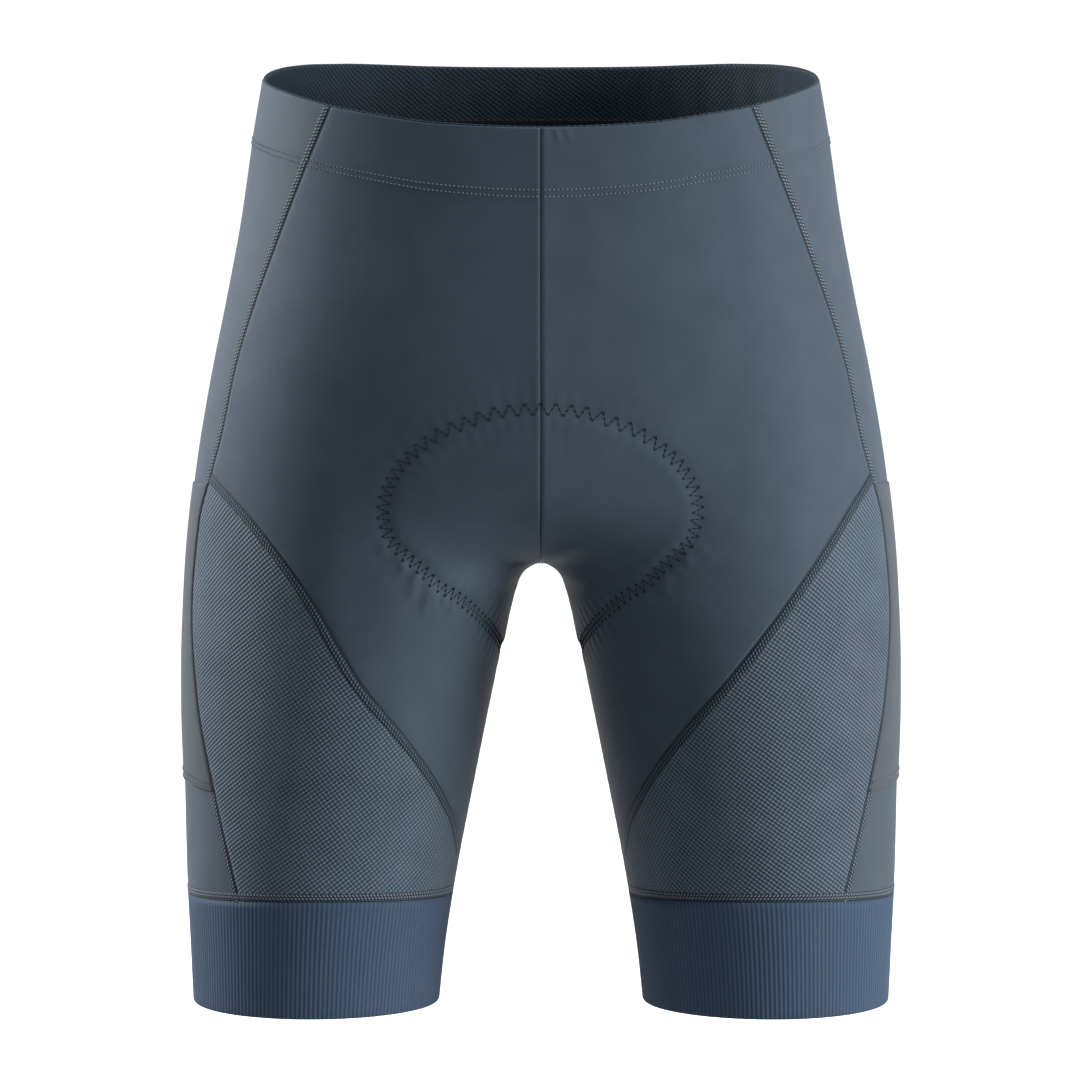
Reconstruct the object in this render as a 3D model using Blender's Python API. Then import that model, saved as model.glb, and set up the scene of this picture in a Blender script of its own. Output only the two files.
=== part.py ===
"""Cycling shorts in their worn form, with no wearer inside.

The cloth is one closed sheet around a hollow body. Every level of that body is a
horizontal section, drawn with four curves around each half. The cut pieces are
patches of that sheet, 0.3 mm apart at their seams and thickened inward.

Millimetres are used while shaping and metres in the finished meshes. +Z is up, the
front faces -Y, and the origin is the centre of the waist opening.
"""
import math

import bmesh
import bpy
from mathutils import Vector

METRES = 0.001

# Cloth and seam sizes, in millimetres
WALL = 1.2
SEAM_GAP = 0.3
POCKET_CLEARANCE = 0.3
MOUTH_DROP = 8.0
POCKET_END_DROP = 6.0
POCKET_MARGIN = 0.02
HEM_CLEARANCE = 0.6
PAD_CLEARANCE = 2.4
PAD_THICKNESS = 5.0
WAIST_HEM_HEIGHT = 30.0
HEM_DROP = 0.6
HEM_LEVELS = 2
TIP_CLEARANCE = 1.0

# Heights of the garment, in millimetres
SIDE_TOP_Z = 12.7
CROTCH_Z = -234.0
CROTCH_Y = 2.0
FRONT_RISE = 66.0
BACK_RISE = 96.0
RISE_POWER = 2.5
BAND_TOP_Z = -408.0
BAND_TOP_FRONT_LIFT = 4.3
HEM_Z = -465.5

# How sections change beside the crotch
PINCHED_HANDLE = 7.0
SQUARE_HANDLE = 0.56
OPEN_HANDLE = 0.39
OPENING_HEIGHT = 2.5
LEG_ROUNDING_HEIGHT = 70.0

# How grid levels follow the waist and the crotch
WAIST_TILT_DEPTH = 40.0
WAIST_TILT_FADE = 120.0
FAN_SHARE = 0.36

# Ribs of the leg bands
RIBS = 120
RIB_HEIGHT = 0.45

# Cells across each kind of panel
FRONT_CELLS = 9
MESH_CELLS = 8
SIDE_CELLS = 7
BACK_CELLS = 11
PAD_CELLS = 8
HEM_CELLS = 96
CENTRE_CROWDING = 1.5

# Body sections. A section has its outermost point at the side, a shoulder point on
# the front and one on the back, and each shoulder's tangent turns by its angle.
SECTION_COLUMNS = (
    "z", "side_x", "side_y",
    "front_x", "front_y", "front_turn",
    "back_x", "back_y", "back_turn",
)
SECTION_ROWS = (
    (30.0, 141.0, 3.0, 99.0, -65.0, 33.0, 99.0, 73.0, 36.0),
    (12.5, 143.9, 3.0, 101.0, -66.0, 33.0, 101.0, 73.0, 36.0),
    (-17.0, 148.9, 4.0, 103.0, -69.0, 32.0, 103.0, 73.0, 35.0),
    (-59.0, 155.1, 4.0, 105.0, -75.0, 29.0, 106.0, 78.0, 34.0),
    (-100.0, 163.0, 5.0, 106.0, -83.0, 25.0, 108.0, 89.0, 30.0),
    (-142.0, 171.6, 5.0, 104.0, -89.0, 19.0, 106.0, 103.0, 22.0),
    (-184.0, 178.7, 5.0, 101.0, -92.0, 12.0, 101.0, 113.0, 13.0),
    (-225.0, 183.7, 4.0, 97.0, -92.5, 4.0, 97.0, 111.0, 5.0),
    (-246.0, 185.2, 3.0, 97.0, -91.5, 1.0, 97.0, 105.0, 1.0),
    (-288.0, 186.9, 1.0, 102.0, -88.0, 0.0, 102.0, 91.0, 0.0),
    (-309.0, 187.0, 0.0, 105.0, -86.0, 0.0, 105.0, 86.0, 0.0),
    (-351.0, 185.7, -3.0, 110.0, -81.0, 0.0, 110.0, 77.0, 0.0),
    (-393.0, 184.6, -5.0, 115.0, -76.0, 0.0, 115.0, 67.0, 0.0),
    (-436.0, 182.6, -6.0, 117.5, -72.0, 0.0, 117.5, 60.0, 0.0),
    (-470.0, 181.3, -6.0, 118.5, -70.0, 0.0, 118.5, 58.0, 0.0),
)

# Centre front and centre back, down to where the rise turns under
CENTRE_COLUMNS = ("z", "front_y", "back_y")
CENTRE_ROWS = (
    (30.0, -91.0, 104.0),
    (0.0, -93.0, 102.0),
    (-40.0, -96.0, 102.0),
    (-95.0, -102.0, 110.0),
    (-136.0, -105.0, 117.0),
    (-150.0, -105.0, 118.0),
    (-240.0, -105.0, 118.0),
)

# Inner side of each leg, below the crotch
INSEAM_COLUMNS = ("z", "x", "y")
INSEAM_ROWS = (
    (-234.0, 0.0, 2.0),
    (-236.2, 5.5, 2.0),
    (-239.0, 8.6, 2.0),
    (-244.4, 12.1, 2.0),
    (-255.8, 15.6, 2.0),
    (-277.3, 20.3, 1.0),
    (-308.8, 26.8, -0.5),
    (-350.8, 35.1, -3.0),
    (-393.0, 43.3, -5.0),
    (-435.3, 50.1, -6.0),
    (-470.0, 54.0, -6.0),
)

# The waist's upper edge: how far round, and how high
WAIST_COLUMNS = ("around", "z")
WAIST_ROWS = (
    (-0.12, -6.3),
    (0.0, -8.2),
    (0.12, -6.3),
    (0.20, -2.2),
    (0.265, 1.6),
    (0.35, 7.0),
    (0.41, 10.3),
    (0.5, 14.2),
    (0.56, 17.2),
    (0.62, 19.2),
    (0.68, 20.0),
    (0.74, 20.0),
    (0.80, 19.2),
    (0.86, 18.2),
    (0.92, 17.7),
    (1.0, 17.5),
    (1.08, 17.7),
)

# Seams on the front half, as the distance from the centre at each height
SIDE_SEAM_COLUMNS = ("z", "x")
SIDE_SEAM_ROWS = (
    (2.0, 106.0),
    (-58.0, 130.5),
    (-129.0, 155.4),
    (-169.0, 164.2),
    (-187.0, 169.3),
    (-213.0, 176.0),
    (-262.0, 180.0),
    (-301.0, 177.1),
    (-353.0, 166.8),
    (-408.0, 153.8),
)
DIAGONAL_COLUMNS = ("z", "x")
DIAGONAL_ROWS = (
    (-187.0, 169.3),
    (-204.0, 153.5),
    (-239.0, 126.5),
    (-288.0, 93.5),
    (-318.0, 69.8),
    (-337.0, 57.2),
    (-352.0, 49.6),
    (-368.0, 44.2),
    (-388.0, 42.3),
)

# Seam between side panel and back panel, as the share of the way round
BACK_SEAM_COLUMNS = ("z", "around")
BACK_SEAM_ROWS = (
    (20.0, 0.600),
    (-80.0, 0.615),
    (-200.0, 0.648),
    (-300.0, 0.652),
    (-410.0, 0.640),
)

# Outline of the seat pad, front and back, as a share of the way round
PAD_COLUMNS = ("z", "front_share", "back_share")
PAD_ROWS = (
    (-149.0, 0.030, 0.030),
    (-155.0, 0.083, 0.080),
    (-169.0, 0.148, 0.140),
    (-187.0, 0.193, 0.180),
    (-210.0, 0.214, 0.200),
    (-224.0, 0.203, 0.195),
    (-239.0, 0.186, 0.175),
    (-255.0, 0.131, 0.130),
    (-268.0, 0.075, 0.075),
    (-279.0, 0.024, 0.024),
)

# Grid levels: height at the side, height at the centre and inseam
LEVEL_COLUMNS = ("side_z", "centre_z")
LEVEL_ROWS = (
    (12.7, 12.7),
    (-3.0, -3.0),
    (-19.0, -19.0),
    (-38.0, -38.0),
    (-57.0, -57.0),
    (-77.0, -77.0),
    (-97.0, -97.0),
    (-117.0, -117.0),
    (-136.0, -136.0),
    (-150.0, -152.0),
    (-160.0, -167.0),
    (-169.0, -181.0),
    (-178.0, -194.0),
    (-187.0, -205.5),
    (-198.0, -215.0),
    (-209.0, -222.0),
    (-220.0, -227.5),
    (-230.0, -231.3),
    (-240.0, -233.4),
    (-251.0, -234.0),
    (-261.0, -235.4),
    (-271.0, -238.6),
    (-281.0, -244.6),
    (-291.0, -254.0),
    (-301.0, -265.0),
    (-312.0, -278.0),
    (-324.0, -296.0),
    (-337.0, -318.0),
    (-351.0, -342.0),
    (-370.0, -366.0),
    (-389.0, -388.0),
    (-408.0, -408.0),
)
APEX_LEVEL = 13
CROTCH_LEVEL = 19
PAD_TOP_LEVEL = 9
PAD_BOTTOM_LEVEL = 25
POCKET_TOP_LEVEL = 13
POCKET_BOTTOM_LEVEL = 28
TIP_LEVEL = 30
BAND_LEVEL = 31

# Plain finishes: linear colour and roughness
FINISHES = {
    "front_jersey": ((0.070, 0.094, 0.123), 0.62),
    "side_jersey": ((0.075, 0.098, 0.126), 0.60),
    "pocket_jersey": ((0.098, 0.108, 0.122), 0.64),
    "thigh_mesh_knit": ((0.058, 0.076, 0.104), 0.72),
    "back_jersey": ((0.060, 0.080, 0.106), 0.64),
    "band_rib": ((0.050, 0.082, 0.140), 0.68),
    "hem_knit": ((0.018, 0.026, 0.038), 0.78),
    "pad_foam_knit": ((0.012, 0.015, 0.020), 0.82),
}


def column(names, rows, name):
    """One column of a table against its first column."""
    place = names.index(name)
    return [(row[0], row[place]) for row in rows]


def smooth_curve(points):
    """A curve through the points that never swings past them."""
    ordered = sorted(points)
    xs = [point[0] for point in ordered]
    ys = [point[1] for point in ordered]
    steps = [xs[i + 1] - xs[i] for i in range(len(xs) - 1)]
    slopes = [(ys[i + 1] - ys[i]) / steps[i] for i in range(len(steps))]
    tangents = [slopes[0]]
    for before, after in zip(slopes, slopes[1:]):
        same_way = before * after > 0
        tangents.append(2 * before * after / (before + after) if same_way else 0.0)
    tangents.append(slopes[-1])

    def value(x):
        x = min(max(x, xs[0]), xs[-1])
        i = max(k for k in range(len(steps)) if xs[k] <= x)
        t = (x - xs[i]) / steps[i]
        start = (1 + 2 * t) * (1 - t) ** 2 * ys[i] + t * (1 - t) ** 2 * steps[i] * tangents[i]
        end = t * t * (3 - 2 * t) * ys[i + 1] + t * t * (t - 1) * steps[i] * tangents[i + 1]
        return start + end

    return value


def curves_of(names, rows):
    """A smooth curve for every column after the first."""
    return {name: smooth_curve(column(names, rows, name)) for name in names[1:]}


SECTION = curves_of(SECTION_COLUMNS, SECTION_ROWS)
CENTRE = curves_of(CENTRE_COLUMNS, CENTRE_ROWS)
INSEAM = curves_of(INSEAM_COLUMNS, INSEAM_ROWS)
WAIST = curves_of(WAIST_COLUMNS, WAIST_ROWS)
SIDE_SEAM = curves_of(SIDE_SEAM_COLUMNS, SIDE_SEAM_ROWS)
DIAGONAL = curves_of(DIAGONAL_COLUMNS, DIAGONAL_ROWS)
BACK_SEAM = curves_of(BACK_SEAM_COLUMNS, BACK_SEAM_ROWS)
PAD = curves_of(PAD_COLUMNS, PAD_ROWS)


def smooth_step(value):
    """Ease from 0 to 1."""
    value = min(max(value, 0.0), 1.0)
    return value * value * (3 - 2 * value)


def mix(first, second, share):
    """The value a share of the way from the first to the second."""
    return first + (second - first) * share


def arc_handle(chord, turn):
    """Handle length that makes a curve of this chord turn like an arc."""
    turn = max(turn, math.radians(1.0))
    return chord * (4 / 3) * math.tan(turn / 4) / (2 * math.sin(turn / 2))


def rise(height, reach, full_height):
    """How far the centre line runs from the crotch at a height above it."""
    share = min(height / full_height, 1.0)
    return reach * (1 - (1 - share) ** RISE_POWER) ** (1 / RISE_POWER)


def centre_points(z):
    """Start and end of a section with their directions and handle share."""
    height = z - CROTCH_Z
    if height >= 0:
        front_y = CROTCH_Y - rise(height, CROTCH_Y - CENTRE["front_y"](z), FRONT_RISE)
        back_y = CROTCH_Y + rise(height, CENTRE["back_y"](z) - CROTCH_Y, BACK_RISE)
        front = Vector((0.0, front_y))
        back = Vector((0.0, back_y))
        return front, Vector((1.0, 0.0)), back, Vector((-1.0, 0.0))
    inner = Vector((INSEAM["x"](z), INSEAM["y"](z)))
    return inner, Vector((0.0, -1.0)), inner, Vector((0.0, -1.0))


def centre_handles(z, chord, turn):
    """Handles of the curve beside the centre: at the centre, and at the shoulder."""
    height = z - CROTCH_Z
    if height >= 0:
        grown = smooth_step(height / FRONT_RISE)
        pinched = PINCHED_HANDLE * height ** 0.25
        return (
            mix(pinched, arc_handle(chord, turn), grown),
            mix(SQUARE_HANDLE * chord, arc_handle(chord, turn), grown),
        )
    grown = smooth_step(-height / LEG_ROUNDING_HEIGHT)
    opened = OPEN_HANDLE * chord * min(-height / OPENING_HEIGHT, 1.0) ** 0.4
    return opened, mix(SQUARE_HANDLE * chord, arc_handle(chord, math.pi / 2), grown)


def bezier(first, second, third, fourth, t):
    """Point of a cubic curve."""
    s = 1 - t
    return first * s ** 3 + second * 3 * s * s * t + third * 3 * s * t * t + fourth * t ** 3


def section_point(around, z):
    """Outer face of the left half (+X) at a share of the way round."""
    front, front_way, back, back_way = centre_points(z)
    side = Vector((SECTION["side_x"](z), SECTION["side_y"](z)))
    turns = [math.radians(SECTION["front_turn"](z)), math.radians(SECTION["back_turn"](z))]
    fore = Vector((SECTION["front_x"](z), SECTION["front_y"](z)))
    fore_way = Vector((math.cos(turns[0]), math.sin(turns[0])))
    rear = Vector((SECTION["back_x"](z), SECTION["back_y"](z)))
    rear_way = Vector((-math.cos(turns[1]), math.sin(turns[1])))
    side_way = Vector((0.0, 1.0))
    quarter = min(int(around * 4), 3)
    t = around * 4 - quarter
    if quarter == 0:
        near, far = centre_handles(z, (fore - front).length, turns[0])
        point = bezier(front, front + front_way * near, fore - fore_way * far, fore, t)
    elif quarter == 1:
        reach = arc_handle((side - fore).length, math.pi / 2 - turns[0])
        point = bezier(fore, fore + fore_way * reach, side - side_way * reach, side, t)
    elif quarter == 2:
        reach = arc_handle((rear - side).length, math.pi / 2 - turns[1])
        point = bezier(side, side + side_way * reach, rear - rear_way * reach, rear, t)
    else:
        near, far = centre_handles(z, (rear - back).length, turns[1])
        point = bezier(rear, rear + rear_way * far, back - back_way * near, back, t)
    return Vector((point.x, point.y, z))


def level_height(level, around):
    """Height of a grid level at a share of the way round."""
    row = dict(zip(LEVEL_COLUMNS, LEVEL_ROWS[level]))
    from_centre = min(around, 1 - around)
    z = mix(row["centre_z"], row["side_z"], smooth_step(from_centre / FAN_SHARE))
    lift_left = 1 - smooth_step((SIDE_TOP_Z - z - WAIST_TILT_DEPTH) / WAIST_TILT_FADE)
    z += (WAIST["z"](around) - SIDE_TOP_Z) * lift_left
    if level == BAND_LEVEL:
        z = band_top_height(around) + SEAM_GAP / 2
    return z


def band_top_height(around):
    """The seam above the leg band, a little higher in front."""
    front_share = 1 - smooth_step(abs(around - 0.25) / 0.25)
    return BAND_TOP_Z + BAND_TOP_FRONT_LIFT * front_share


def sheet_point(level, around):
    """Outer face on a grid level."""
    return section_point(around, level_height(level, around))


def solve_around(level, low, high, is_before):
    """Share of the way round where a seam crosses a level."""
    for _ in range(24):
        middle = (low + high) / 2
        if is_before(middle, sheet_point(level, middle)):
            low = middle
        else:
            high = middle
    return (low + high) / 2


def side_seam(level):
    """Seam between front or mesh panel and side panel."""
    return solve_around(level, 0.0, 0.5, lambda around, p: p.x < SIDE_SEAM["x"](p.z))


def diagonal_seam(level):
    """Seam between front panel and mesh panel."""
    if level >= TIP_LEVEL:
        return 0.0
    if level <= APEX_LEVEL:
        return side_seam(level)
    return solve_around(level, 0.0, 0.5, lambda around, p: p.x < DIAGONAL["x"](p.z))


def back_seam(level):
    """Seam between side panel and back panel."""
    return solve_around(level, 0.4, 0.9, lambda around, p: around < BACK_SEAM["around"](p.z))


def pad_front_edge(level):
    """Edge of the seat pad on the front half."""
    return solve_around(level, 0.0, 0.4, lambda around, p: around < PAD["front_share"](p.z))


def pad_back_edge(level):
    """Edge of the seat pad on the back half."""
    return solve_around(level, 0.6, 1.0, lambda around, p: 1 - around > PAD["back_share"](p.z))


def seam_share(level, around):
    """Half a seam gap, as a share of the way round at this place."""
    step = 0.002
    low = max(around - step, 0.0)
    high = min(around + step, 1.0)
    length = (sheet_point(level, high) - sheet_point(level, low)).length
    return SEAM_GAP / 2 * (high - low) / length


def between(level, start, end, share):
    """Share of the way round inside a panel, clear of both of its seams."""
    first = start + seam_share(level, start)
    last = end - seam_share(level, end)
    if last <= first:
        first = last = (start + end) / 2
    return mix(first, last, share)


def make_material(name):
    """Plain finish of one cloth."""
    colour, roughness = FINISHES[name]
    material = bpy.data.materials.new(name)
    material.use_nodes = True
    shader = material.node_tree.nodes["Principled BSDF"]
    shader.inputs["Base Color"].default_value = (*colour, 1.0)
    shader.inputs["Roughness"].default_value = roughness
    shader.inputs["Metallic"].default_value = 0.0
    material.diffuse_color = (*colour, 1.0)
    return material


def add_object(name, bm, material, collection):
    """Make an object of a mesh that is drawn in millimetres."""
    bmesh.ops.scale(bm, vec=(METRES, METRES, METRES), verts=bm.verts)
    mesh = bpy.data.meshes.new(name)
    bm.to_mesh(mesh)
    bm.free()
    mesh.materials.append(material)
    thing = bpy.data.objects.new(name, mesh)
    collection.objects.link(thing)


def at_centre(around):
    """Whether a place is on the centre front, the centre back or the inseam."""
    return min(around, 1 - around) < 0.0005


def outward(level, around):
    """Direction that leaves the body at a place on a grid level."""
    if at_centre(around) and level == CROTCH_LEVEL:
        return Vector((0.0, 0.0, -1.0))
    above = max(level - 1, 0)
    below = min(level + 1, BAND_LEVEL)
    if at_centre(around) and level < CROTCH_LEVEL:
        below = level
    elif at_centre(around):
        above = level
    up = sheet_point(above, around) - sheet_point(below, around)
    return along_sheet(around, level_height(level, around)).cross(up).normalized()


def outward_at(around, z):
    """Direction that leaves the body at a height well above the crotch."""
    up = section_point(around, z + 2.0) - section_point(around, z - 2.0)
    return along_sheet(around, z).cross(up).normalized()


def along_sheet(around, z):
    """Direction round the body, straight across at the centre lines."""
    step = 0.01
    if at_centre(around) and z >= CROTCH_Z:
        return Vector((1.0 if around < 0.5 else -1.0, 0.0, 0.0))
    if at_centre(around):
        return section_point(step, z) - section_point(1 - step, z)
    after = section_point(min(around + step, 1.0), z)
    return after - section_point(max(around - step, 0.0), z)


def draw_patch(bm, cells, levels, place):
    """Draw a grid whose points are placed by share across and level."""
    first, last = levels
    inward = bm.verts.layers.float_vector.get("inward")
    made = bmesh.ops.create_grid(bm, x_segments=cells, y_segments=last - first, size=1.0)
    for vertex in made["verts"]:
        across = (vertex.co.x + 1) / 2
        level = first + round((1 - vertex.co.y) / 2 * (last - first))
        vertex.co, vertex[inward] = place(across, level)


def new_sheet():
    """An empty mesh whose points can keep their way in."""
    bm = bmesh.new()
    bm.verts.layers.float_vector.new("inward")
    return bm


def on_sheet(level, around):
    """A point of the sheet and its way in."""
    return sheet_point(level, around), -outward(level, around)


def push_in(bm, distance, verts=None):
    """Move points along their own way in."""
    inward = bm.verts.layers.float_vector.get("inward")
    for vertex in verts or bm.verts:
        vertex.co += vertex[inward] * distance


def thicken(bm, thickness):
    """Turn an open sheet into a closed wall that grows inward."""
    bmesh.ops.remove_doubles(bm, verts=bm.verts, dist=0.01)
    made = bmesh.ops.extrude_face_region(bm, geom=list(bm.faces), use_keep_orig=True)
    grown = [part for part in made["geom"] if isinstance(part, bmesh.types.BMVert)]
    push_in(bm, thickness, grown)
    bmesh.ops.recalc_face_normals(bm, faces=bm.faces)


def mirrored(bm):
    """Turn a mesh of the +X half into the -X half."""
    bmesh.ops.scale(bm, vec=(-1.0, 1.0, 1.0), verts=bm.verts)
    bmesh.ops.reverse_faces(bm, faces=bm.faces)


def front_place(across, level):
    """Front panel, ending in a point at the inseam."""
    if level == TIP_LEVEL:
        z = level_height(level, 0.0) + TIP_CLEARANCE
        return section_point(0.0, z), -outward(level, 0.0)
    return on_sheet(level, between(level, 0.0, diagonal_seam(level), across ** CENTRE_CROWDING))


def mesh_place(across, level):
    """Thigh panel, starting in a point at the hip."""
    end = side_seam(level)
    if level == APEX_LEVEL:
        z = level_height(level, end) - TIP_CLEARANCE
        return section_point(end, z), -outward(level, end)
    return on_sheet(level, between(level, diagonal_seam(level), end, across))


def side_place(across, level):
    """Side panel, from the waist to the leg band."""
    return on_sheet(level, between(level, side_seam(level), back_seam(level), across))


def back_place(across, level):
    """Back panel, to the centre back and the inseam."""
    share = 1 - (1 - across) ** CENTRE_CROWDING
    return on_sheet(level, between(level, back_seam(level), 1.0, share))


def pocket_place(across, level):
    """Pocket cloth, lying on the side panel."""
    share = min(max(across, POCKET_MARGIN), 1 - POCKET_MARGIN)
    around = between(level, side_seam(level), back_seam(level), share)
    drop = {POCKET_TOP_LEVEL: MOUTH_DROP, POCKET_BOTTOM_LEVEL: POCKET_END_DROP}.get(level, 0.0)
    way_out = outward(level, around)
    point = section_point(around, level_height(level, around) - drop)
    return point + way_out * (POCKET_CLEARANCE + WALL), -way_out


def make_panel(name, cells, levels, place, material, collection):
    """One cut piece on each side of the body."""
    for side, flip in (("left", False), ("right", True)):
        bm = new_sheet()
        draw_patch(bm, cells, levels, place)
        thicken(bm, WALL)
        if flip:
            mirrored(bm)
        add_object(f"{name}_{side}", bm, material, collection)


def joined_halves(draw_half):
    """A sheet drawn on the +X half and repeated on the -X half."""
    bm = new_sheet()
    draw_half(bm)
    inward = bm.verts.layers.float_vector.get("inward")
    copied = bmesh.ops.duplicate(bm, geom=list(bm.verts) + list(bm.edges) + list(bm.faces))
    for part in copied["geom"]:
        if isinstance(part, bmesh.types.BMVert):
            part.co.x *= -1
            part[inward].x *= -1
    bmesh.ops.remove_doubles(bm, verts=bm.verts, dist=0.01)
    bmesh.ops.recalc_face_normals(bm, faces=bm.faces)
    return bm


def make_waist_hem(material, collection):
    """The part of the waist edge that is turned in, a ring inside the panels."""
    def hem_place(across, level):
        z = WAIST["z"](across) - HEM_DROP - level / HEM_LEVELS * WAIST_HEM_HEIGHT
        point = section_point(across, z)
        return point, -outward_at(across, z)

    def half(bm):
        draw_patch(bm, HEM_CELLS // 2, (0, HEM_LEVELS), hem_place)

    bm = joined_halves(half)
    push_in(bm, WALL + HEM_CLEARANCE)
    thicken(bm, WALL)
    add_object("waist_hem", bm, material, collection)


def make_seat_pad(material, collection):
    """The pad inside the crotch: two front and two back quarters, joined."""
    levels = (PAD_TOP_LEVEL, PAD_BOTTOM_LEVEL)

    def front_quarter(across, level):
        return on_sheet(level, across ** CENTRE_CROWDING * pad_front_edge(level))

    def back_quarter(across, level):
        reach = 1 - pad_back_edge(level)
        return on_sheet(level, 1 - (1 - across) ** CENTRE_CROWDING * reach)

    def half(bm):
        draw_patch(bm, PAD_CELLS, levels, front_quarter)
        draw_patch(bm, PAD_CELLS, levels, back_quarter)

    bm = joined_halves(half)
    push_in(bm, WALL + PAD_CLEARANCE)
    thicken(bm, PAD_THICKNESS)
    add_object("seat_pad", bm, material, collection)


def band_ring(bm, z_of, inset_of):
    """A ring of points around one leg, two to each rib."""
    ring = []
    count = 2 * RIBS
    for index in range(count):
        around = index / count
        z = z_of(around)
        step = 0.5 / count
        along = section_point((around + step) % 1, z) - section_point((around - step) % 1, z)
        inward = Vector((-along.y, along.x, 0.0)).normalized()
        ring.append(bm.verts.new(section_point(around, z) + inward * inset_of(index)))
    return ring


def make_leg_band(material, collection):
    """Ribbed band at each hem, raised outside and plain inside."""
    def top(around):
        return band_top_height(around) - SEAM_GAP / 2

    def hem(around):
        return HEM_Z

    def ribbed(index):
        return 0.0 if index % 2 else RIB_HEIGHT

    def plain(index):
        return RIB_HEIGHT + WALL

    for side, flip in (("left", False), ("right", True)):
        bm = bmesh.new()
        rings = [
            band_ring(bm, top, ribbed),
            band_ring(bm, hem, ribbed),
            band_ring(bm, hem, plain),
            band_ring(bm, top, plain),
        ]
        for ring, following in zip(rings, rings[1:] + rings[:1]):
            for index in range(len(ring)):
                after = (index + 1) % len(ring)
                corners = (ring[index], following[index], following[after], ring[after])
                bm.faces.new(corners)
        bmesh.ops.recalc_face_normals(bm, faces=bm.faces)
        if flip:
            mirrored(bm)
        add_object(f"leg_band_{side}", bm, material, collection)


def main():
    for thing in list(bpy.data.objects):
        bpy.data.objects.remove(thing, do_unlink=True)
    collection = bpy.data.collections.new("cycling_shorts")
    bpy.context.scene.collection.children.link(collection)
    cloth = {name: make_material(name) for name in FINISHES}

    whole = (0, BAND_LEVEL)
    pocket = (POCKET_TOP_LEVEL, POCKET_BOTTOM_LEVEL)
    make_panel("front", FRONT_CELLS, (0, TIP_LEVEL), front_place, cloth["front_jersey"], collection)
    make_panel("side", SIDE_CELLS, whole, side_place, cloth["side_jersey"], collection)
    make_panel("thigh_mesh", MESH_CELLS, (APEX_LEVEL, BAND_LEVEL), mesh_place,
               cloth["thigh_mesh_knit"], collection)
    make_panel("back", BACK_CELLS, whole, back_place, cloth["back_jersey"], collection)
    make_panel("pocket", SIDE_CELLS, pocket, pocket_place, cloth["pocket_jersey"], collection)
    make_leg_band(cloth["band_rib"], collection)
    make_waist_hem(cloth["hem_knit"], collection)
    make_seat_pad(cloth["pad_foam_knit"], collection)


main()
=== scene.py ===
# %% [markdown]
# # Cycling shorts, worn form with no wearer
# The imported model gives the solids: walls of plain cloth, 0.3 mm apart at the seams. This
# lesson dresses them. Each cut piece gets a fine shell that follows the same body sections,
# with creases and puckers, and the sewing that holds the pieces together is laid on top.
# Lengths are in millimetres while a piece is shaped, and metres in the finished mesh.

# %% Load the frame
import math

import bmesh
import bpy
import numpy as np
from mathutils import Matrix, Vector


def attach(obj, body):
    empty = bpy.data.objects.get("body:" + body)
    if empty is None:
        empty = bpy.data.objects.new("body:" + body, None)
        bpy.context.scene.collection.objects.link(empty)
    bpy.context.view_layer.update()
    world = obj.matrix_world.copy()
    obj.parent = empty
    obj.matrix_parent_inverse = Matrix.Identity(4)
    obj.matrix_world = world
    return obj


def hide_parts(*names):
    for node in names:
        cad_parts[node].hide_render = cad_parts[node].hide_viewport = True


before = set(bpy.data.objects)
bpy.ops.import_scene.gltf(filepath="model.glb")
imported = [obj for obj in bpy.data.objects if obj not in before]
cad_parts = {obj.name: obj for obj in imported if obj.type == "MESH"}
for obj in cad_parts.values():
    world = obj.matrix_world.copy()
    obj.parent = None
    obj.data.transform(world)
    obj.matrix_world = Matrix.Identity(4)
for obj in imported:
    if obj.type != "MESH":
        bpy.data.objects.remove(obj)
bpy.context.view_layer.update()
METRES = 0.001


def add_thing(name, data):
    """Put a new object in the scene."""
    thing = bpy.data.objects.new(name, data)
    bpy.context.scene.collection.objects.link(thing)
    return thing


print("nodes to dress:", len(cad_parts))

# %% [markdown]
# ## The camera first
# The photograph looks at the front from about three metres away, a little above the middle
# of the garment, so the back of the waist shows inside the opening and the hems curve down.
# A long lens at that distance keeps the legs as parallel as they are in the picture.

# %% Camera
FRAME_PIXELS = 1080
MM_PER_PIXEL = 0.52
CAMERA_DISTANCE = 3.2
CAMERA_TILT = math.radians(5.5)
CAMERA_TARGET = Vector((-0.0005, 0.0, -0.225))
SENSOR_WIDTH = 36.0

camera_data = bpy.data.cameras.new("camera")
camera_data.sensor_width = SENSOR_WIDTH
camera_data.lens = SENSOR_WIDTH * CAMERA_DISTANCE / (FRAME_PIXELS * MM_PER_PIXEL * METRES)
camera = add_thing("camera", camera_data)
camera_way = Vector((0.0, -math.cos(CAMERA_TILT), math.sin(CAMERA_TILT)))
camera.location = CAMERA_TARGET + camera_way * CAMERA_DISTANCE
camera.rotation_euler = (math.pi / 2 - CAMERA_TILT, 0.0, 0.0)
bpy.context.scene.camera = camera
print("lens", round(camera_data.lens, 1), "mm")

# %% [markdown]
# ## The body inside the cloth
# Stretch cloth has no shape of its own: it takes the body's. The body is described by
# horizontal sections, and each half of a section is four curves through a front shoulder
# point, the side, and a back shoulder point. The tables are the solids' own, so the dressed
# pieces lie where the solids lie.

# %% Body tables, in millimetres
SIDE_TOP_Z = 12.7
CROTCH_Z = -234.0
CROTCH_Y = 2.0
FRONT_RISE = 66.0
BACK_RISE = 96.0
RISE_POWER = 2.5
BAND_TOP_Z = -408.0
BAND_TOP_FRONT_LIFT = 4.3
HEM_Z = -465.5
PINCHED_HANDLE = 7.0
SQUARE_HANDLE = 0.56
OPEN_HANDLE = 0.39
SADDLE_SOFTNESS = 9.0
LEG_ROUNDING_HEIGHT = 70.0
WAIST_TILT_DEPTH = 40.0
WAIST_TILT_FADE = 120.0
FAN_SHARE = 0.36

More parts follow.
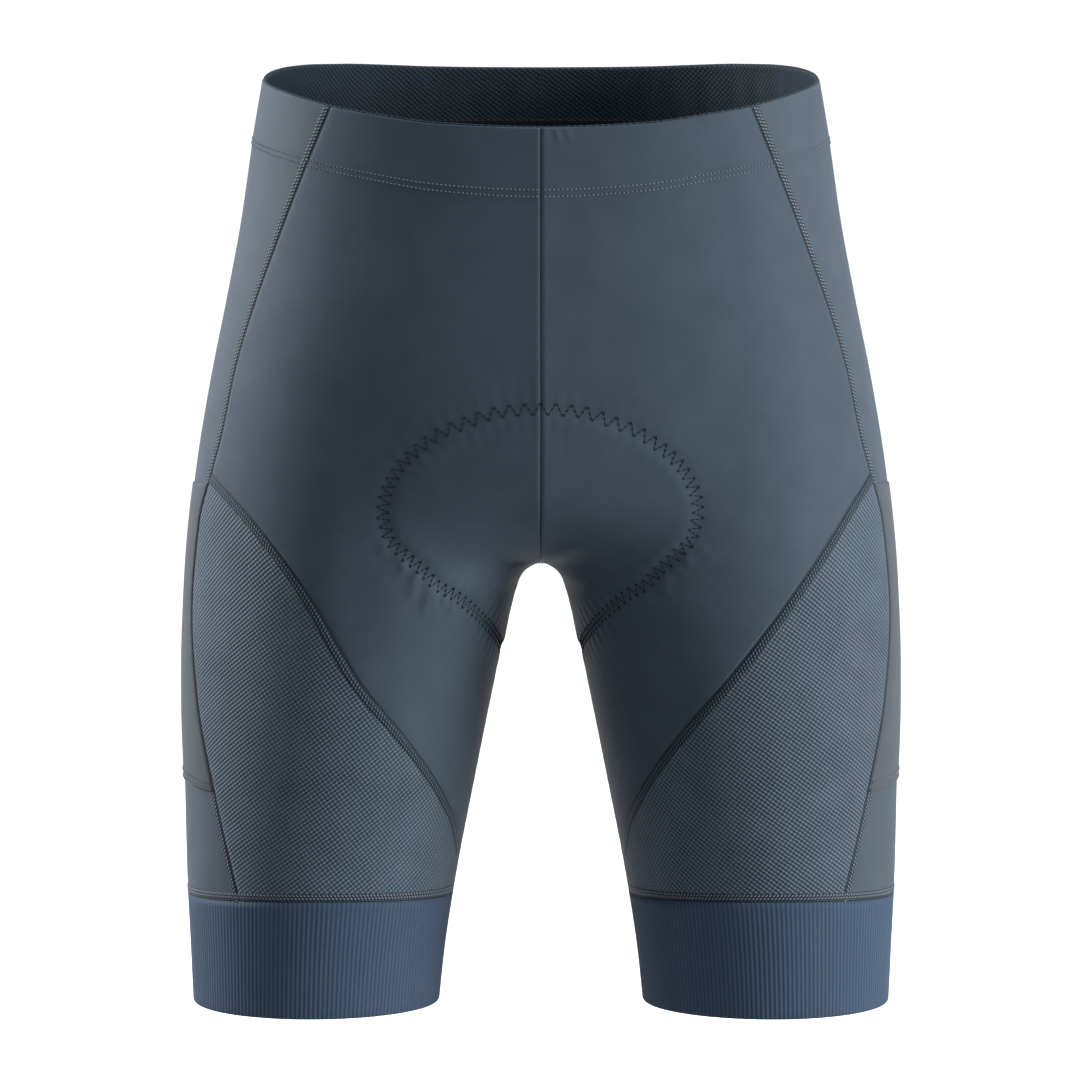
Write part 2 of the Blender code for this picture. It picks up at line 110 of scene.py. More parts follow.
SECTIONS = {
    "z": (30, 12.5, -17, -59, -100, -142, -184, -225, -246, -288, -309, -351, -393, -436, -470),
    "side_x": (141, 143.9, 148.9, 155.1, 163, 171.6, 178.7, 183.7, 185.2, 186.9, 187, 185.7,
               184.6, 182.6, 181.3),
    "side_y": (3, 3, 4, 4, 5, 5, 5, 4, 3, 1, 0, -3, -5, -6, -6),
    "front_x": (99, 101, 103, 105, 106, 104, 101, 97, 97, 102, 105, 110, 115, 117.5, 118.5),
    "front_y": (-65, -66, -69, -75, -83, -89, -92, -92.5, -91.5, -88, -86, -81, -76, -72, -70),
    "front_turn": (33, 33, 32, 29, 25, 19, 12, 4, 1, 0, 0, 0, 0, 0, 0),
    "back_x": (99, 101, 103, 106, 108, 106, 101, 97, 97, 102, 105, 110, 115, 117.5, 118.5),
    "back_y": (73, 73, 73, 78, 89, 103, 113, 111, 105, 91, 86, 77, 67, 60, 58),
    "back_turn": (36, 36, 35, 34, 30, 22, 13, 5, 1, 0, 0, 0, 0, 0, 0),
}
CENTRES = {
    "z": (30, 0, -40, -95, -136, -150, -240),
    "front_y": (-91, -93, -96, -102, -105, -105, -105),
    "back_y": (104, 102, 102, 110, 117, 118, 118),
}
INSEAM = {
    "z": (-234, -236.2, -239.0, -244.4, -255.8, -277.3, -308.8, -350.8, -393, -435.3, -470),
    "x": (0, 5.5, 8.6, 12.1, 15.6, 20.3, 26.8, 35.1, 43.3, 50.1, 54),
    "y": (2, 2, 2, 2, 2, 1, -0.5, -3, -5, -6, -6),
}
WAIST_EDGE = {
    "around": (-0.12, 0, 0.12, 0.2, 0.265, 0.35, 0.41, 0.5, 0.56, 0.62, 0.68, 0.74, 0.8, 0.86,
               0.92, 1, 1.08),
    "z": (-6.3, -8.2, -6.3, -2.2, 1.6, 7, 10.3, 14.2, 17.2, 19.2, 20, 20, 19.2, 18.2, 17.7,
          17.5, 17.7),
}
LEVELS = {
    "level": tuple(range(35)),
    "side_z": (12.7, -3, -19, -38, -57, -77, -97, -117, -136, -150, -160, -169, -178, -187,
               -198, -209, -220, -230, -240, -251, -261, -271, -281, -291, -301, -312, -324,
               -337, -351, -370, -389, -408, -427, -446, -465.5),
    "centre_z": (12.7, -3, -19, -38, -57, -77, -97, -117, -136, -152, -167, -181, -194, -205.5,
                 -215, -222.0, -227.5, -231.3, -233.4, -234, -235.4, -238.6, -244.6, -254, -265,
                 -278, -296, -318, -342, -366, -388, -408, -427, -446, -465.5),
}
APEX_LEVEL = 13
PAD_TOP_LEVEL = 9
PAD_BOTTOM_LEVEL = 25
TIP_LEVEL = 30
BAND_LEVEL = 31
HEM_LEVEL = 34
CROTCH_LEVEL = 19


def smooth_curves(table):
    """Curves through a table's columns that never swing past its values."""
    names = list(table)
    order = np.argsort(table[names[0]])
    xs = np.array(table[names[0]], float)[order]
    steps = np.diff(xs)
    curves = {}
    for name in names[1:]:
        ys = np.array(table[name], float)[order]
        slopes = np.diff(ys) / steps
        before, after = slopes[:-1], slopes[1:]
        total = np.where(before * after > 0, before + after, 1.0)
        inner = np.where(before * after > 0, 2 * before * after / total, 0.0)
        tangents = np.concatenate([slopes[:1], inner, slopes[-1:]])

        def value(x, ys=ys, tangents=tangents):
            x = np.clip(x, xs[0], xs[-1])
            i = np.clip(np.searchsorted(xs, x, side="right") - 1, 0, len(steps) - 1)
            t = (x - xs[i]) / steps[i]
            start = (1 + 2 * t) * (1 - t) ** 2 * ys[i] + t * (1 - t) ** 2 * steps[i] * tangents[i]
            end = t * t * (3 - 2 * t) * ys[i + 1] + t * t * (t - 1) * steps[i] * tangents[i + 1]
            return start + end

        curves[name] = value
    return curves


SECTION = smooth_curves(SECTIONS)
CENTRE = smooth_curves(CENTRES)
INNER = smooth_curves(INSEAM)
WAIST = smooth_curves(WAIST_EDGE)
LEVEL = smooth_curves(LEVELS)
print("body sections:", len(SECTIONS["z"]), "and grid levels:", len(LEVELS["level"]))

# %% [markdown]
# ## From tables to a surface
# A point in plan is kept as one complex number, x for the real part and y for the imaginary
# part, so a tangent is a turned number and a cubic curve is one line of arithmetic. Whole
# arrays go through at once, which keeps a hundred thousand points quick.

# %% The body surface
def smooth_step(value):
    value = np.clip(value, 0.0, 1.0)
    return value * value * (3 - 2 * value)


def mix(first, second, share):
    return first + (second - first) * share


def arc_handle(chord, turn):
    turn = np.maximum(turn, math.radians(1.0))
    return chord * (4 / 3) * np.tan(turn / 4) / (2 * np.sin(turn / 2))


def rise(height, reach, full_height):
    share = np.clip(height / full_height, 0.0, 1.0)
    return reach * (1 - (1 - share) ** RISE_POWER) ** (1 / RISE_POWER)


def bezier(first, second, third, fourth, t):
    s = 1 - t
    return first * s ** 3 + second * 3 * s * s * t + third * 3 * s * t * t + fourth * t ** 3


def centre_handles(height, shoulder, centre, turn, forward):
    """Curve handles beside the centre line: at the centre, and at the shoulder.

    Just above the crotch the handle at the centre still points along the legs and its end
    stays where it is, so the saddle between the legs has no cleft.
    """
    chord = abs(shoulder - centre)
    grown = smooth_step(height / FRONT_RISE)
    arc = arc_handle(chord, turn)
    saddle = OPEN_HANDLE * abs(shoulder - 1j * CROTCH_Y) - abs(centre - 1j * CROTCH_Y)
    saddle = (saddle + np.sqrt(saddle ** 2 + SADDLE_SOFTNESS ** 2)) / 2
    near_above = mix(PINCHED_HANDLE * np.maximum(height, 0) ** 0.25, arc, grown)
    near_above = near_above + forward * saddle
    far_above = mix(SQUARE_HANDLE * chord, arc, grown)
    grown = smooth_step(-height / LEG_ROUNDING_HEIGHT)
    far_below = mix(SQUARE_HANDLE * chord, arc_handle(chord, math.pi / 2), grown)
    near = np.where(height >= 0, near_above, forward * OPEN_HANDLE * chord)
    return near, np.where(height >= 0, far_above, far_below)


def half_body(around, z):
    """Outer face of the wearer's left half, +X, at a share of the way round."""
    height = z - CROTCH_Z
    inner = INNER["x"](z) + 1j * INNER["y"](z)
    side = SECTION["side_x"](z) + 1j * SECTION["side_y"](z)
    quarter = np.clip((around * 4).astype(int), 0, 3)
    t = around * 4 - quarter
    curves = []
    for end, way, full_height in (("front", -1, FRONT_RISE), ("back", 1, BACK_RISE)):
        risen = rise(height, abs(CENTRE[end + "_y"](z) - CROTCH_Y), full_height)
        centre = np.where(height >= 0, 1j * (CROTCH_Y + way * risen), inner)
        shoulder = SECTION[end + "_x"](z) + 1j * SECTION[end + "_y"](z)
        turn = np.radians(SECTION[end + "_turn"](z))
        along = np.exp(-way * 1j * turn)
        near, far = centre_handles(height, shoulder, centre, turn, way * 1j)
        reach = arc_handle(abs(side - shoulder), math.pi / 2 - turn)
        curves.append((centre, centre + near, shoulder - along * far, shoulder))
        curves.append((shoulder, shoulder + along * reach, side + way * 1j * reach, side))
    curves = (curves[0], curves[1], curves[3][::-1], curves[2][::-1])
    plan = np.choose(quarter, [bezier(*points, t) for points in curves])
    return np.stack([plan.real, plan.imag, z + 0 * plan.real], axis=-1)


SOFT_COLUMNS = 100
SOFT_WIDTH = 6.5
FINE_STEPS = (0, 0.01, 0.03, 0.07, 0.13, 0.2, 0.3, 0.45, 0.65, 0.9, 1.2, 1.6, 2.1, 2.7, 3.4)
SOFT_STEPS = np.concatenate([FINE_STEPS, np.arange(4.2, 46, 0.9)])
SOFT_HEIGHTS = CROTCH_Z + np.concatenate([-SOFT_STEPS[:0:-1], SOFT_STEPS])


def averaged_sections():
    """How far a point moves when its section is averaged with those above and below."""
    around, z = np.meshgrid(np.linspace(0, 1, SOFT_COLUMNS + 1), SOFT_HEIGHTS)
    width = SOFT_WIDTH * smooth_step((np.minimum(around, 1 - around) - 0.01) / 0.10)
    width = width * (1 - smooth_step((abs(z - CROTCH_Z) - 6) / 36.0))
    total, weights = 0.0, 0.0
    for share in np.linspace(-2.4, 2.4, 73):
        weight = math.exp(-share * share / 2)
        total = total + weight * half_body(around, z + share * width)
        weights += weight
    return total / weights - half_body(around, z)


SOFT_MOVES = averaged_sections()


def softened(points, around, z):
    """The same points, with the saddle between the legs made soft."""
    z = np.clip(z, SOFT_HEIGHTS[0], SOFT_HEIGHTS[-1] - 1e-6)
    row = np.searchsorted(SOFT_HEIGHTS, z, side="right") - 1
    column = np.clip(around * SOFT_COLUMNS, 0, SOFT_COLUMNS - 1e-6)
    first = column.astype(int)
    down = ((z - SOFT_HEIGHTS[row]) / (SOFT_HEIGHTS[row + 1] - SOFT_HEIGHTS[row]))[..., None]
    across = (column - first)[..., None]
    upper = mix(SOFT_MOVES[row, first], SOFT_MOVES[row, first + 1], across)
    lower = mix(SOFT_MOVES[row + 1, first], SOFT_MOVES[row + 1, first + 1], across)
    points[..., :2] += mix(upper, lower, down)[..., :2]
    return points


def body(around, z):
    """The same surface, also a little way past the centre lines."""
    around, z = np.broadcast_arrays(np.asarray(around, float), np.asarray(z, float))
    below = z < CROTCH_Z
    inside = np.where(around < 0, np.where(below, 1 + around, -around), around)
    inside = np.where(around > 1, np.where(below, around - 1, 2 - around), inside)
    points = softened(half_body(inside, z), inside, z)
    past = ((around < 0) | (around > 1)) & ~below
    points[..., 0] *= np.where(past, -1.0, 1.0)
    return points


def front_share(around):
    return 1 - smooth_step(abs(around - 0.25) / 0.25)


def level_height(level, around):
    """Height of a grid level: fanned out at the crotch and tilted with the waist."""
    around = np.clip(around, 0.0, 1.0)
    from_centre = np.minimum(around, 1 - around)
    z = mix(LEVEL["centre_z"](level), LEVEL["side_z"](level), smooth_step(from_centre / FAN_SHARE))
    lift_left = 1 - smooth_step((SIDE_TOP_Z - z - WAIST_TILT_DEPTH) / WAIST_TILT_FADE)
    z = z + (WAIST["z"](around) - SIDE_TOP_Z) * lift_left
    return z + BAND_TOP_FRONT_LIFT * front_share(around) * np.clip(level - BAND_LEVEL + 1, 0, 1)


def on_level(around, level):
    return body(around, level_height(level, around))


def outward(around, level):
    """Unit normals of the body."""
    step, rung = 0.003, 0.2
    z = level_height(level, around)
    along = body(around + step, z) - body(around - step, z)
    up = on_level(around, np.maximum(level - rung, 0))
    up = up - on_level(around, np.minimum(level + rung, HEM_LEVEL))
    normal = np.cross(along, up)
    return normal / np.linalg.norm(normal, axis=-1, keepdims=True)


probe = np.linspace(0, 1, 400)
girth = 2 * np.linalg.norm(np.diff(body(probe, 0 * probe), axis=0), axis=1).sum()
print("girth at the waist", round(girth), "mm")

# %% [markdown]
# ## Where the seams run
# Seams are known by how far they lie from the centre at each height, which is what the
# photograph shows. A few rounds of halving find the share of the way round that gives this
# distance, on every fine level at once.

# %% Seam lines
SIDE_SEAM = smooth_curves({
    "z": (2, -58, -129, -169, -187, -213, -262, -301, -353, -408),
    "x": (106, 130.5, 155.4, 164.2, 169.3, 176, 180, 177.1, 166.8, 153.8),
})
DIAGONAL = smooth_curves({
    "z": (-187, -204, -239, -288, -318, -337, -352, -368, -388),
    "x": (169.3, 153.5, 126.5, 93.5, 69.8, 57.2, 49.6, 44.2, 42.3),
})
BACK_SEAM = smooth_curves({
    "z": (20, -80, -200, -300, -410),
    "around": (0.600, 0.615, 0.648, 0.652, 0.640),
})
PAD_EDGE = smooth_curves({
    "z": (-149, -155, -169, -187, -210, -224, -239, -255, -268, -279),
    "front": (0.030, 0.083, 0.148, 0.193, 0.214, 0.203, 0.186, 0.131, 0.075, 0.024),
    "back": (0.030, 0.080, 0.140, 0.180, 0.200, 0.195, 0.175, 0.130, 0.075, 0.024),
})
SLANT_BOW = smooth_curves({
    "z": (-187, -200, -216, -233, -250, -270, -290, -300),
    "x": (0, 2.3, 4.4, 5.2, 4.7, 2.5, 0.5, 0),
})
FINE_LEVELS = np.linspace(0, BAND_LEVEL, BAND_LEVEL * 16 + 1)
SIDES = (("left", 1.0), ("right", -1.0))


def halving(low, high, is_before, rounds):
    """Where a test turns false, for a whole array at once."""
    for _ in range(rounds):
        middle = (low + high) / 2
        before = is_before(middle)
        low = np.where(before, middle, low)
        high = np.where(before, high, middle)
    return (low + high) / 2


def solve(low, high, is_before, levels=FINE_LEVELS):
    """Share of the way round where a test of it and its point turns false."""
    low, high = np.full(levels.shape, low), np.full(levels.shape, high)
    return halving(low, high, lambda u: is_before(u, on_level(u, levels)), 26)


side_line = solve(0.0, 0.5, lambda u, p: p[:, 0] < SIDE_SEAM["x"](p[:, 2]))
back_line = solve(0.4, 0.9, lambda u, p: u < BACK_SEAM["around"](p[:, 2]))
slant_lines = {}
for _, sign in SIDES:
    line = solve(
        0.0, 0.5, lambda u, p: p[:, 0] < DIAGONAL["x"](p[:, 2]) + sign * SLANT_BOW["x"](p[:, 2])
    )
    line = np.where(FINE_LEVELS <= APEX_LEVEL, side_line, line)
    slant_lines[sign] = np.where(FINE_LEVELS >= TIP_LEVEL, 0.0, line)


def side_seam(level, sign=1.0):
    return np.interp(level, FINE_LEVELS, side_line)


def slant_seam(level, sign=1.0):
    return np.interp(level, FINE_LEVELS, slant_lines[sign])


def back_seam(level, sign=1.0):
    return np.interp(level, FINE_LEVELS, back_line)


print("side seam starts", round(float(on_level(side_line[:1], FINE_LEVELS[:1])[0, 0])), "mm out")

# %% [markdown]
# ## Lines that shape the cloth
# Sewing gathers cloth a little. The pieces need to know how far each of their points is from
# the nearest seam and how far along it, so each seam is kept as close samples with its
# direction and the direction across it.

# %% Lines on the body
def unit(vectors):
    return vectors / np.linalg.norm(vectors, axis=-1, keepdims=True)


class Line:
    """A line on the cloth, kept as close samples."""

    def __init__(self, around, level, spacing=0.7):
        points = on_level(around, level)
        run = np.concatenate([[0], np.cumsum(np.linalg.norm(np.diff(points, axis=0), axis=1))])
        count = max(int(run[-1] / spacing), 3)
        self.spacing = spacing
        self.length = run[-1]
        self.run = np.linspace(0, run[-1], count)
        self.around = np.interp(self.run, run, around)
        self.level = np.interp(self.run, run, level)
        self.points = on_level(self.around, self.level)
        self.ways = unit(np.gradient(self.points, axis=0))
        self.beside = unit(np.cross(self.ways, outward(self.around, self.level)))

    def nearest(self, points):
        """For each point: distance to the line, distance along it, and signed side."""
        away, run, side = (np.empty(len(points)) for _ in range(3))
        own = (self.points ** 2).sum(axis=1)
        for first in range(0, len(points), 5000):
            some = points[first:first + 5000]
            index = (own - 2 * some @ self.points.T).argmin(axis=1)
            gap = some - self.points[index]
            along = np.clip((gap * self.ways[index]).sum(axis=1), -self.spacing, self.spacing)
            across = gap - along[:, None] * self.ways[index]
            rows = slice(first, first + len(some))
            away[rows] = np.linalg.norm(across, axis=1)
            run[rows] = self.run[index] + along
            side[rows] = (across * self.beside[index]).sum(axis=1)
        return away, run, side


def level_at(around, z):
    """Grid level of a height."""
    low, high = np.zeros(np.shape(z)), np.full(np.shape(z), float(HEM_LEVEL))
    return halving(low, high, lambda level: level_height(level, around) > z, 30)


def line_through(arounds, heights, spacing=0.7):
    """A smooth line through places given by share round and height."""
    share = np.linspace(0, len(arounds) - 1, 24 * len(arounds))
    index = np.arange(len(arounds))
    curve = smooth_curves({"index": index, "around": arounds, "z": heights})
    around = curve["around"](share)
    return Line(around, level_at(around, curve["z"](share)), spacing)


def down(seam, first, last, sign=1.0, count=400):
    levels = np.linspace(first, last, count)
    return seam(levels, sign), levels


def centre_front(level, sign=1.0):
    """The centre line in front, which is the inseam below the crotch."""
    return 0 * level


def centre_back(level, sign=1.0):
    return 0 * level + 1.0


side_path = Line(*down(side_seam, 0, BAND_LEVEL))
back_path = Line(*down(back_seam, 0, BAND_LEVEL))
slant_paths = {s: Line(*down(slant_seam, APEX_LEVEL, TIP_LEVEL - 0.2, s)) for _, s in SIDES}
inseam_path = Line(*down(centre_front, CROTCH_LEVEL + 0.2, BAND_LEVEL))
print("side seam", round(side_path.length), "mm, inseam", round(inseam_path.length), "mm")

# %% [markdown]
# The seat pad is sewn through the cloth with a zigzag. Its line on the front is read off the
# photograph: nearly level across the top, round the outside, and slanting in to the inseam.
# Behind, the same kind of line follows the back edge of the pad.

# %% Pad stitching lines
PAD_FRONT_LINE = (
    # share round, height
    (0.0, -148.7), (0.027, -149.4), (0.055, -150.9), (0.080, -154.5), (0.100, -157.6),
    (0.117, -160.4), (0.148, -168.9), (0.167, -175.1), (0.182, -181.2), (0.193, -186.9),
    (0.203, -193.0), (0.209, -198.6), (0.213, -204.8), (0.213, -214.5), (0.203, -223.8),
    (0.194, -231.9), (0.187, -238.7), (0.163, -246.1), (0.131, -255.1), (0.075, -268.2),
    (0.026, -277.9), (0.0, -282.0),
)
PAD_BACK_LINE = (
    # share round, height
    (1.0, -150.0), (0.965, -151.5), (0.920, -155.0), (0.860, -169.0), (0.820, -187.0),
    (0.800, -210.0), (0.805, -224.0), (0.825, -239.0), (0.870, -255.0), (0.925, -268.0),
    (0.976, -279.0), (1.0, -282.0),
)
pad_front_path = line_through(*zip(*PAD_FRONT_LINE))
pad_back_path = line_through(*zip(*PAD_BACK_LINE))
print("pad stitching", round(pad_front_path.length), "mm in front on each side")

# %% [markdown]
# ## Folds and puckers
# A worn stretch garment is nearly smooth. What shows is a shallow dent along each sewn line,
# little gathers beside it, a few soft pulls at the crotch and a hint of the pad's thickness.
# Each is added as a height over the body, so they blend wherever they meet. A fold has a
# sharp side and a soft side, which is what makes it catch the light on one side only.

# %% Folds placed one by one
FOLDS = (
    # side (0 both), three places (share round, height), height, half widths on both sides
    (-1, ((0.140, -247.5), (0.120, -236.5), (0.020, -229.3)), 1.0, 3.0, 9.0),
    (1, ((0.012, -229.5), (0.081, -220.5), (0.150, -228.5)), 0.85, 9.0, 4.5),
    (1, ((0.045, -254.5), (0.120, -241.5), (0.160, -232.5)), -0.65, 3.5, 4.5),
    (-1, ((0.217, -215.0), (0.221, -220.0), (0.225, -225.5)), 0.60, 1.6, 1.6),
    (-1, ((0.205, -222.0), (0.209, -228.0), (0.213, -234.5)), 0.95, 1.7, 1.7),
    (-1, ((0.197, -229.5), (0.204, -238.0), (0.208, -246.5)), 1.05, 1.8, 1.8),
    (-1, ((0.191, -234.0), (0.193, -245.0), (0.190, -257.0)), 1.20, 1.9, 1.9),
    (-1, ((0.189, -237.0), (0.186, -246.0), (0.180, -256.0)), 1.05, 1.8, 1.8),
    (-1, ((0.177, -240.0), (0.177, -246.0), (0.173, -253.0)), 0.85, 1.7, 1.7),
    (-1, ((0.160, -247.5), (0.164, -254.0), (0.162, -260.0)), 0.60, 1.7, 1.7),
    (1, ((0.207, -221.0), (0.213, -226.0), (0.217, -232.0)), 0.50, 1.6, 1.6),
    (1, ((0.196, -232.0), (0.202, -238.0), (0.204, -245.0)), 0.60, 1.7, 1.7),
    (1, ((0.180, -241.5), (0.184, -247.0), (0.184, -253.0)), 0.60, 1.7, 1.7),
    (1, ((0.150, -251.0), (0.154, -257.0), (0.152, -263.0)), 0.50, 1.6, 1.6),
    (1, ((0.016, -8.0), (0.018, -11.5), (0.024, -16.0)), 0.50, 1.1, 1.3),
    (1, ((0.027, -8.0), (0.031, -11.5), (0.038, -15.0)), 0.42, 1.1, 1.2),
    (0, ((0.985, -228.0), (0.920, -236.0), (0.840, -233.0)), 0.80, 4.0, 8.0),
    (0, ((0.965, -243.0), (0.890, -252.0), (0.800, -247.0)), 0.55, 4.0, 7.0),
    (0, ((0.800, -262.0), (0.740, -270.0), (0.680, -266.0)), 0.40, 5.0, 8.0),
    (0, ((0.690, -345.0), (0.780, -352.0), (0.860, -343.0)), 0.35, 5.0, 9.0),
    (0, ((0.930, -35.0), (0.880, -62.0), (0.800, -78.0)), 0.30, 6.0, 10.0),
)
fold_lines = [
    (fold[0], line_through(*zip(*fold[1]), spacing=1.0), *fold[2:]) for fold in FOLDS
]


def fold_height(points, line, height, first_width, second_width):
    """A ridge or trough along a line, with its own width on either side."""
    height_here = np.zeros(len(points))
    reach = 2.6 * max(first_width, second_width)
    lowest = line.points.min(axis=0) - reach
    highest = line.points.max(axis=0) + reach
    near = ((points > lowest) & (points < highest)).all(axis=1)
    if near.any():
        away, run, side = line.nearest(points[near])
        share = np.clip(run / line.length, 0, 1)
        width = np.where(side > 0, first_width, second_width)
        fade = np.sin(np.pi * share) ** 0.7
        height_here[near] = height * fade * np.exp(-((away / width) ** 2))
    return height_here


print("folds placed by hand:", len(FOLDS))

# %% Relief of the cloth, in millimetres
STITCH_ROWS = smooth_curves({
    "around": (-0.05, 0, 0.28, 0.5, 0.75, 1, 1.05),
    "upper": (31.2, 31.2, 29.4, 30.1, 31.0, 29.5, 29.5),
    "lower": (34.6, 34.6, 32.2, 32.3, 33.4, 32.2, 32.2),
})
TOP_ROLL = 0.8
SEAM_DENT, SEAM_DENT_WIDTH = 0.25, 2.2
SEAM_GATHERS, SEAM_GATHERS_REACH = 0.11, 7.0
PAD_RAISED, PAD_DENT, PAD_DENT_WIDTH = 0.6, 0.35, 3.6
PAD_GATHERS_WAVE, PAD_GATHERS_REACH = 7.4, 6.5
HEM_FULLNESS = 0.25
ROW_DENT, ROW_DENT_WIDTH = 0.16, 0.8
CENTRE_DENT, CENTRE_DENT_WIDTH = 0.6, 0.9
CENTRE_RIDGE, CENTRE_RIDGE_REACH = 1.7, 13.0


def gathers(away, run, wave, reach):
    """Small folds that leave a seam and die out."""
    rhythm = np.sin(2 * np.pi * run / wave + 1.2 * np.sin(run / 23.0))
    return rhythm * smooth_step((away - 2.0) / 2.5) * np.exp(-away / reach)


def soft_unevenness(points):
    """A slow, slight waviness, so that no panel is mathematically smooth."""
    x, y, z = points.T
    slow = np.sin(x / 31.0 + 1.3) * np.sin(z / 43.0 + 0.4) + np.sin((x + z) / 57.0 + y / 49.0)
    return 0.2 * slow


def relief(points, around, sign):
    """Height of the cloth over the body at each point."""
    height = soft_unevenness(points)
    seams = ((side_path, 9.0), (back_path, 9.0), (slant_paths[sign], 8.0), (inseam_path, 10.0))
    for path, wave in seams:
        away, run, _ = path.nearest(points)
        height += SEAM_GATHERS * gathers(away, run, wave, SEAM_GATHERS_REACH)
        height -= SEAM_DENT * np.exp(-((away / SEAM_DENT_WIDTH) ** 2))
    lower = smooth_step((-205.0 - points[:, 2]) / 20.0)
    in_front = around < 0.5
    for path, chosen, inner in ((pad_front_path, in_front, 1), (pad_back_path, ~in_front, -1)):
        away, run, side = path.nearest(points)
        near = chosen & (away < 60)
        raised = PAD_RAISED * smooth_step((side * inner + 1.0) / 9.0)
        raised -= PAD_DENT * np.exp(-((away / PAD_DENT_WIDTH) ** 4))
        folded = gathers(away, run, PAD_GATHERS_WAVE, PAD_GATHERS_REACH)
        raised += (0.18 + 0.34 * lower) * folded
        height += np.where(near, raised, 0.0)
    top = WAIST["z"](around) - points[:, 2]
    below_rows = top - STITCH_ROWS["lower"](around)
    height += HEM_FULLNESS * (1 - smooth_step((below_rows - 0.5) / 2.5))
    for row in ("upper", "lower"):
        from_row = top - STITCH_ROWS[row](around)
        height -= ROW_DENT * np.exp(-((from_row / ROW_DENT_WIDTH) ** 2))
    for side, line, *shape in fold_lines:
        if side * sign >= 0:
            height += fold_height(points, line, *shape)
    above = smooth_step((points[:, 2] - CROTCH_Z - 5.0) / 45.0)
    out = np.abs(points[:, 0])
    height -= above * CENTRE_DENT * np.exp(-((out / CENTRE_DENT_WIDTH) ** 2))
    height += above * CENTRE_RIDGE * np.exp(-out / CENTRE_RIDGE_REACH) * in_front
    return height


def own_share(around, level):
    """The share round of the same place, where a strip runs past a centre line."""
    below = level > CROTCH_LEVEL
    around = np.where(around < 0, np.where(below, 1 + around, -around), around)
    return np.where(around > 1, np.where(below, around - 1, 2 - around), around)


def cloth(around, level, sign=1.0, lift=0.0):
    """Points of the finished cloth on the wearer's left half, and its normals."""
    around, level = np.broadcast_arrays(np.asarray(around, float), np.asarray(level, float))
    points = on_level(around, level)
    normals = outward(around, level)
    share = own_share(around, level)
    down_from_top = np.clip(WAIST["z"](share) - points[:, 2], 0, TOP_ROLL)
    roll = TOP_ROLL - np.sqrt(np.maximum(TOP_ROLL ** 2 - (TOP_ROLL - down_from_top) ** 2, 0))
    height = relief(points, share, sign) + lift - roll
    return points + normals * height[:, None], normals


def shifted(around, level, direction, distance):
    """The place on the body that lies a distance away in a direction."""
    step = 0.001
    upper, lower = np.maximum(level - 0.05, 0), np.minimum(level + 0.05, HEM_LEVEL)
    by_around = (on_level(around + step, level) - on_level(around - step, level)) / (2 * step)
    by_level = (on_level(around, lower) - on_level(around, upper)) / (lower - upper)[:, None]
    way = direction * distance[:, None]
    aa, bb = (by_around ** 2).sum(axis=1), (by_level ** 2).sum(axis=1)
    ab = (by_around * by_level).sum(axis=1)
    wa, wb = (way * by_around).sum(axis=1), (way * by_level).sum(axis=1)
    spread = aa * bb - ab ** 2
    return around + (wa * bb - wb * ab) / spread, level + (wb * aa - wa * ab) / spread


# %% [markdown]
# ## A map for the knit
# Knit patterns need a flat map. Across, it is the true distance round the body from the front
# of the thigh, and along, it is the height, so a pattern in millimetres keeps its size.

# %% Distance round the body
MAP_BOTTOM = -472
MAP_STEP = 2
MAP_ROWS = 248
MAP_COLUMNS = 400
map_heights = MAP_BOTTOM + MAP_STEP * np.arange(MAP_ROWS)
rings = body(np.linspace(0, 1, MAP_COLUMNS + 1)[None, :], map_heights[:, None])
paces = np.linalg.norm(np.diff(rings, axis=1), axis=2)
distance_map = np.pad(np.cumsum(paces, axis=1), ((0, 0), (1, 0)))
thigh_front = MAP_COLUMNS // 4
distance_map -= distance_map[:, thigh_front:thigh_front + 1]


def distance_round(around, z):
    """Distance round the body from the front of the thigh, in millimetres."""
    row = np.clip((z - MAP_BOTTOM) / MAP_STEP, 0, MAP_ROWS - 1.001)
    column = np.clip(around * MAP_COLUMNS, 0, MAP_COLUMNS - 0.001)
    r, c = row.astype(int), column.astype(int)
    first = mix(distance_map[r, c], distance_map[r, c + 1], column - c)
    second = mix(distance_map[r + 1, c], distance_map[r + 1, c + 1], column - c)
    return mix(first, second, row - r)


print("round the thigh at the hem", round(float(distance_map[4, -1] - distance_map[4, 0])), "mm")

# %% [markdown]
# ## Finishes
# The front is a smooth, matt jersey. Light grazes its fine fibres, so it has sheen and a low,
# wide highlight rather than gloss. The thigh panels are a pique mesh whose lattice is about
# two millimetres across. Both read the piece's own UV map, which is laid out in metres, so
# the knit keeps its real size and follows the leg.

# %% Material helpers
SPECULAR = 0.08
SHEEN_ROUGHNESS = 0.45
THREAD_TINT = (0.80, 0.88, 0.95)


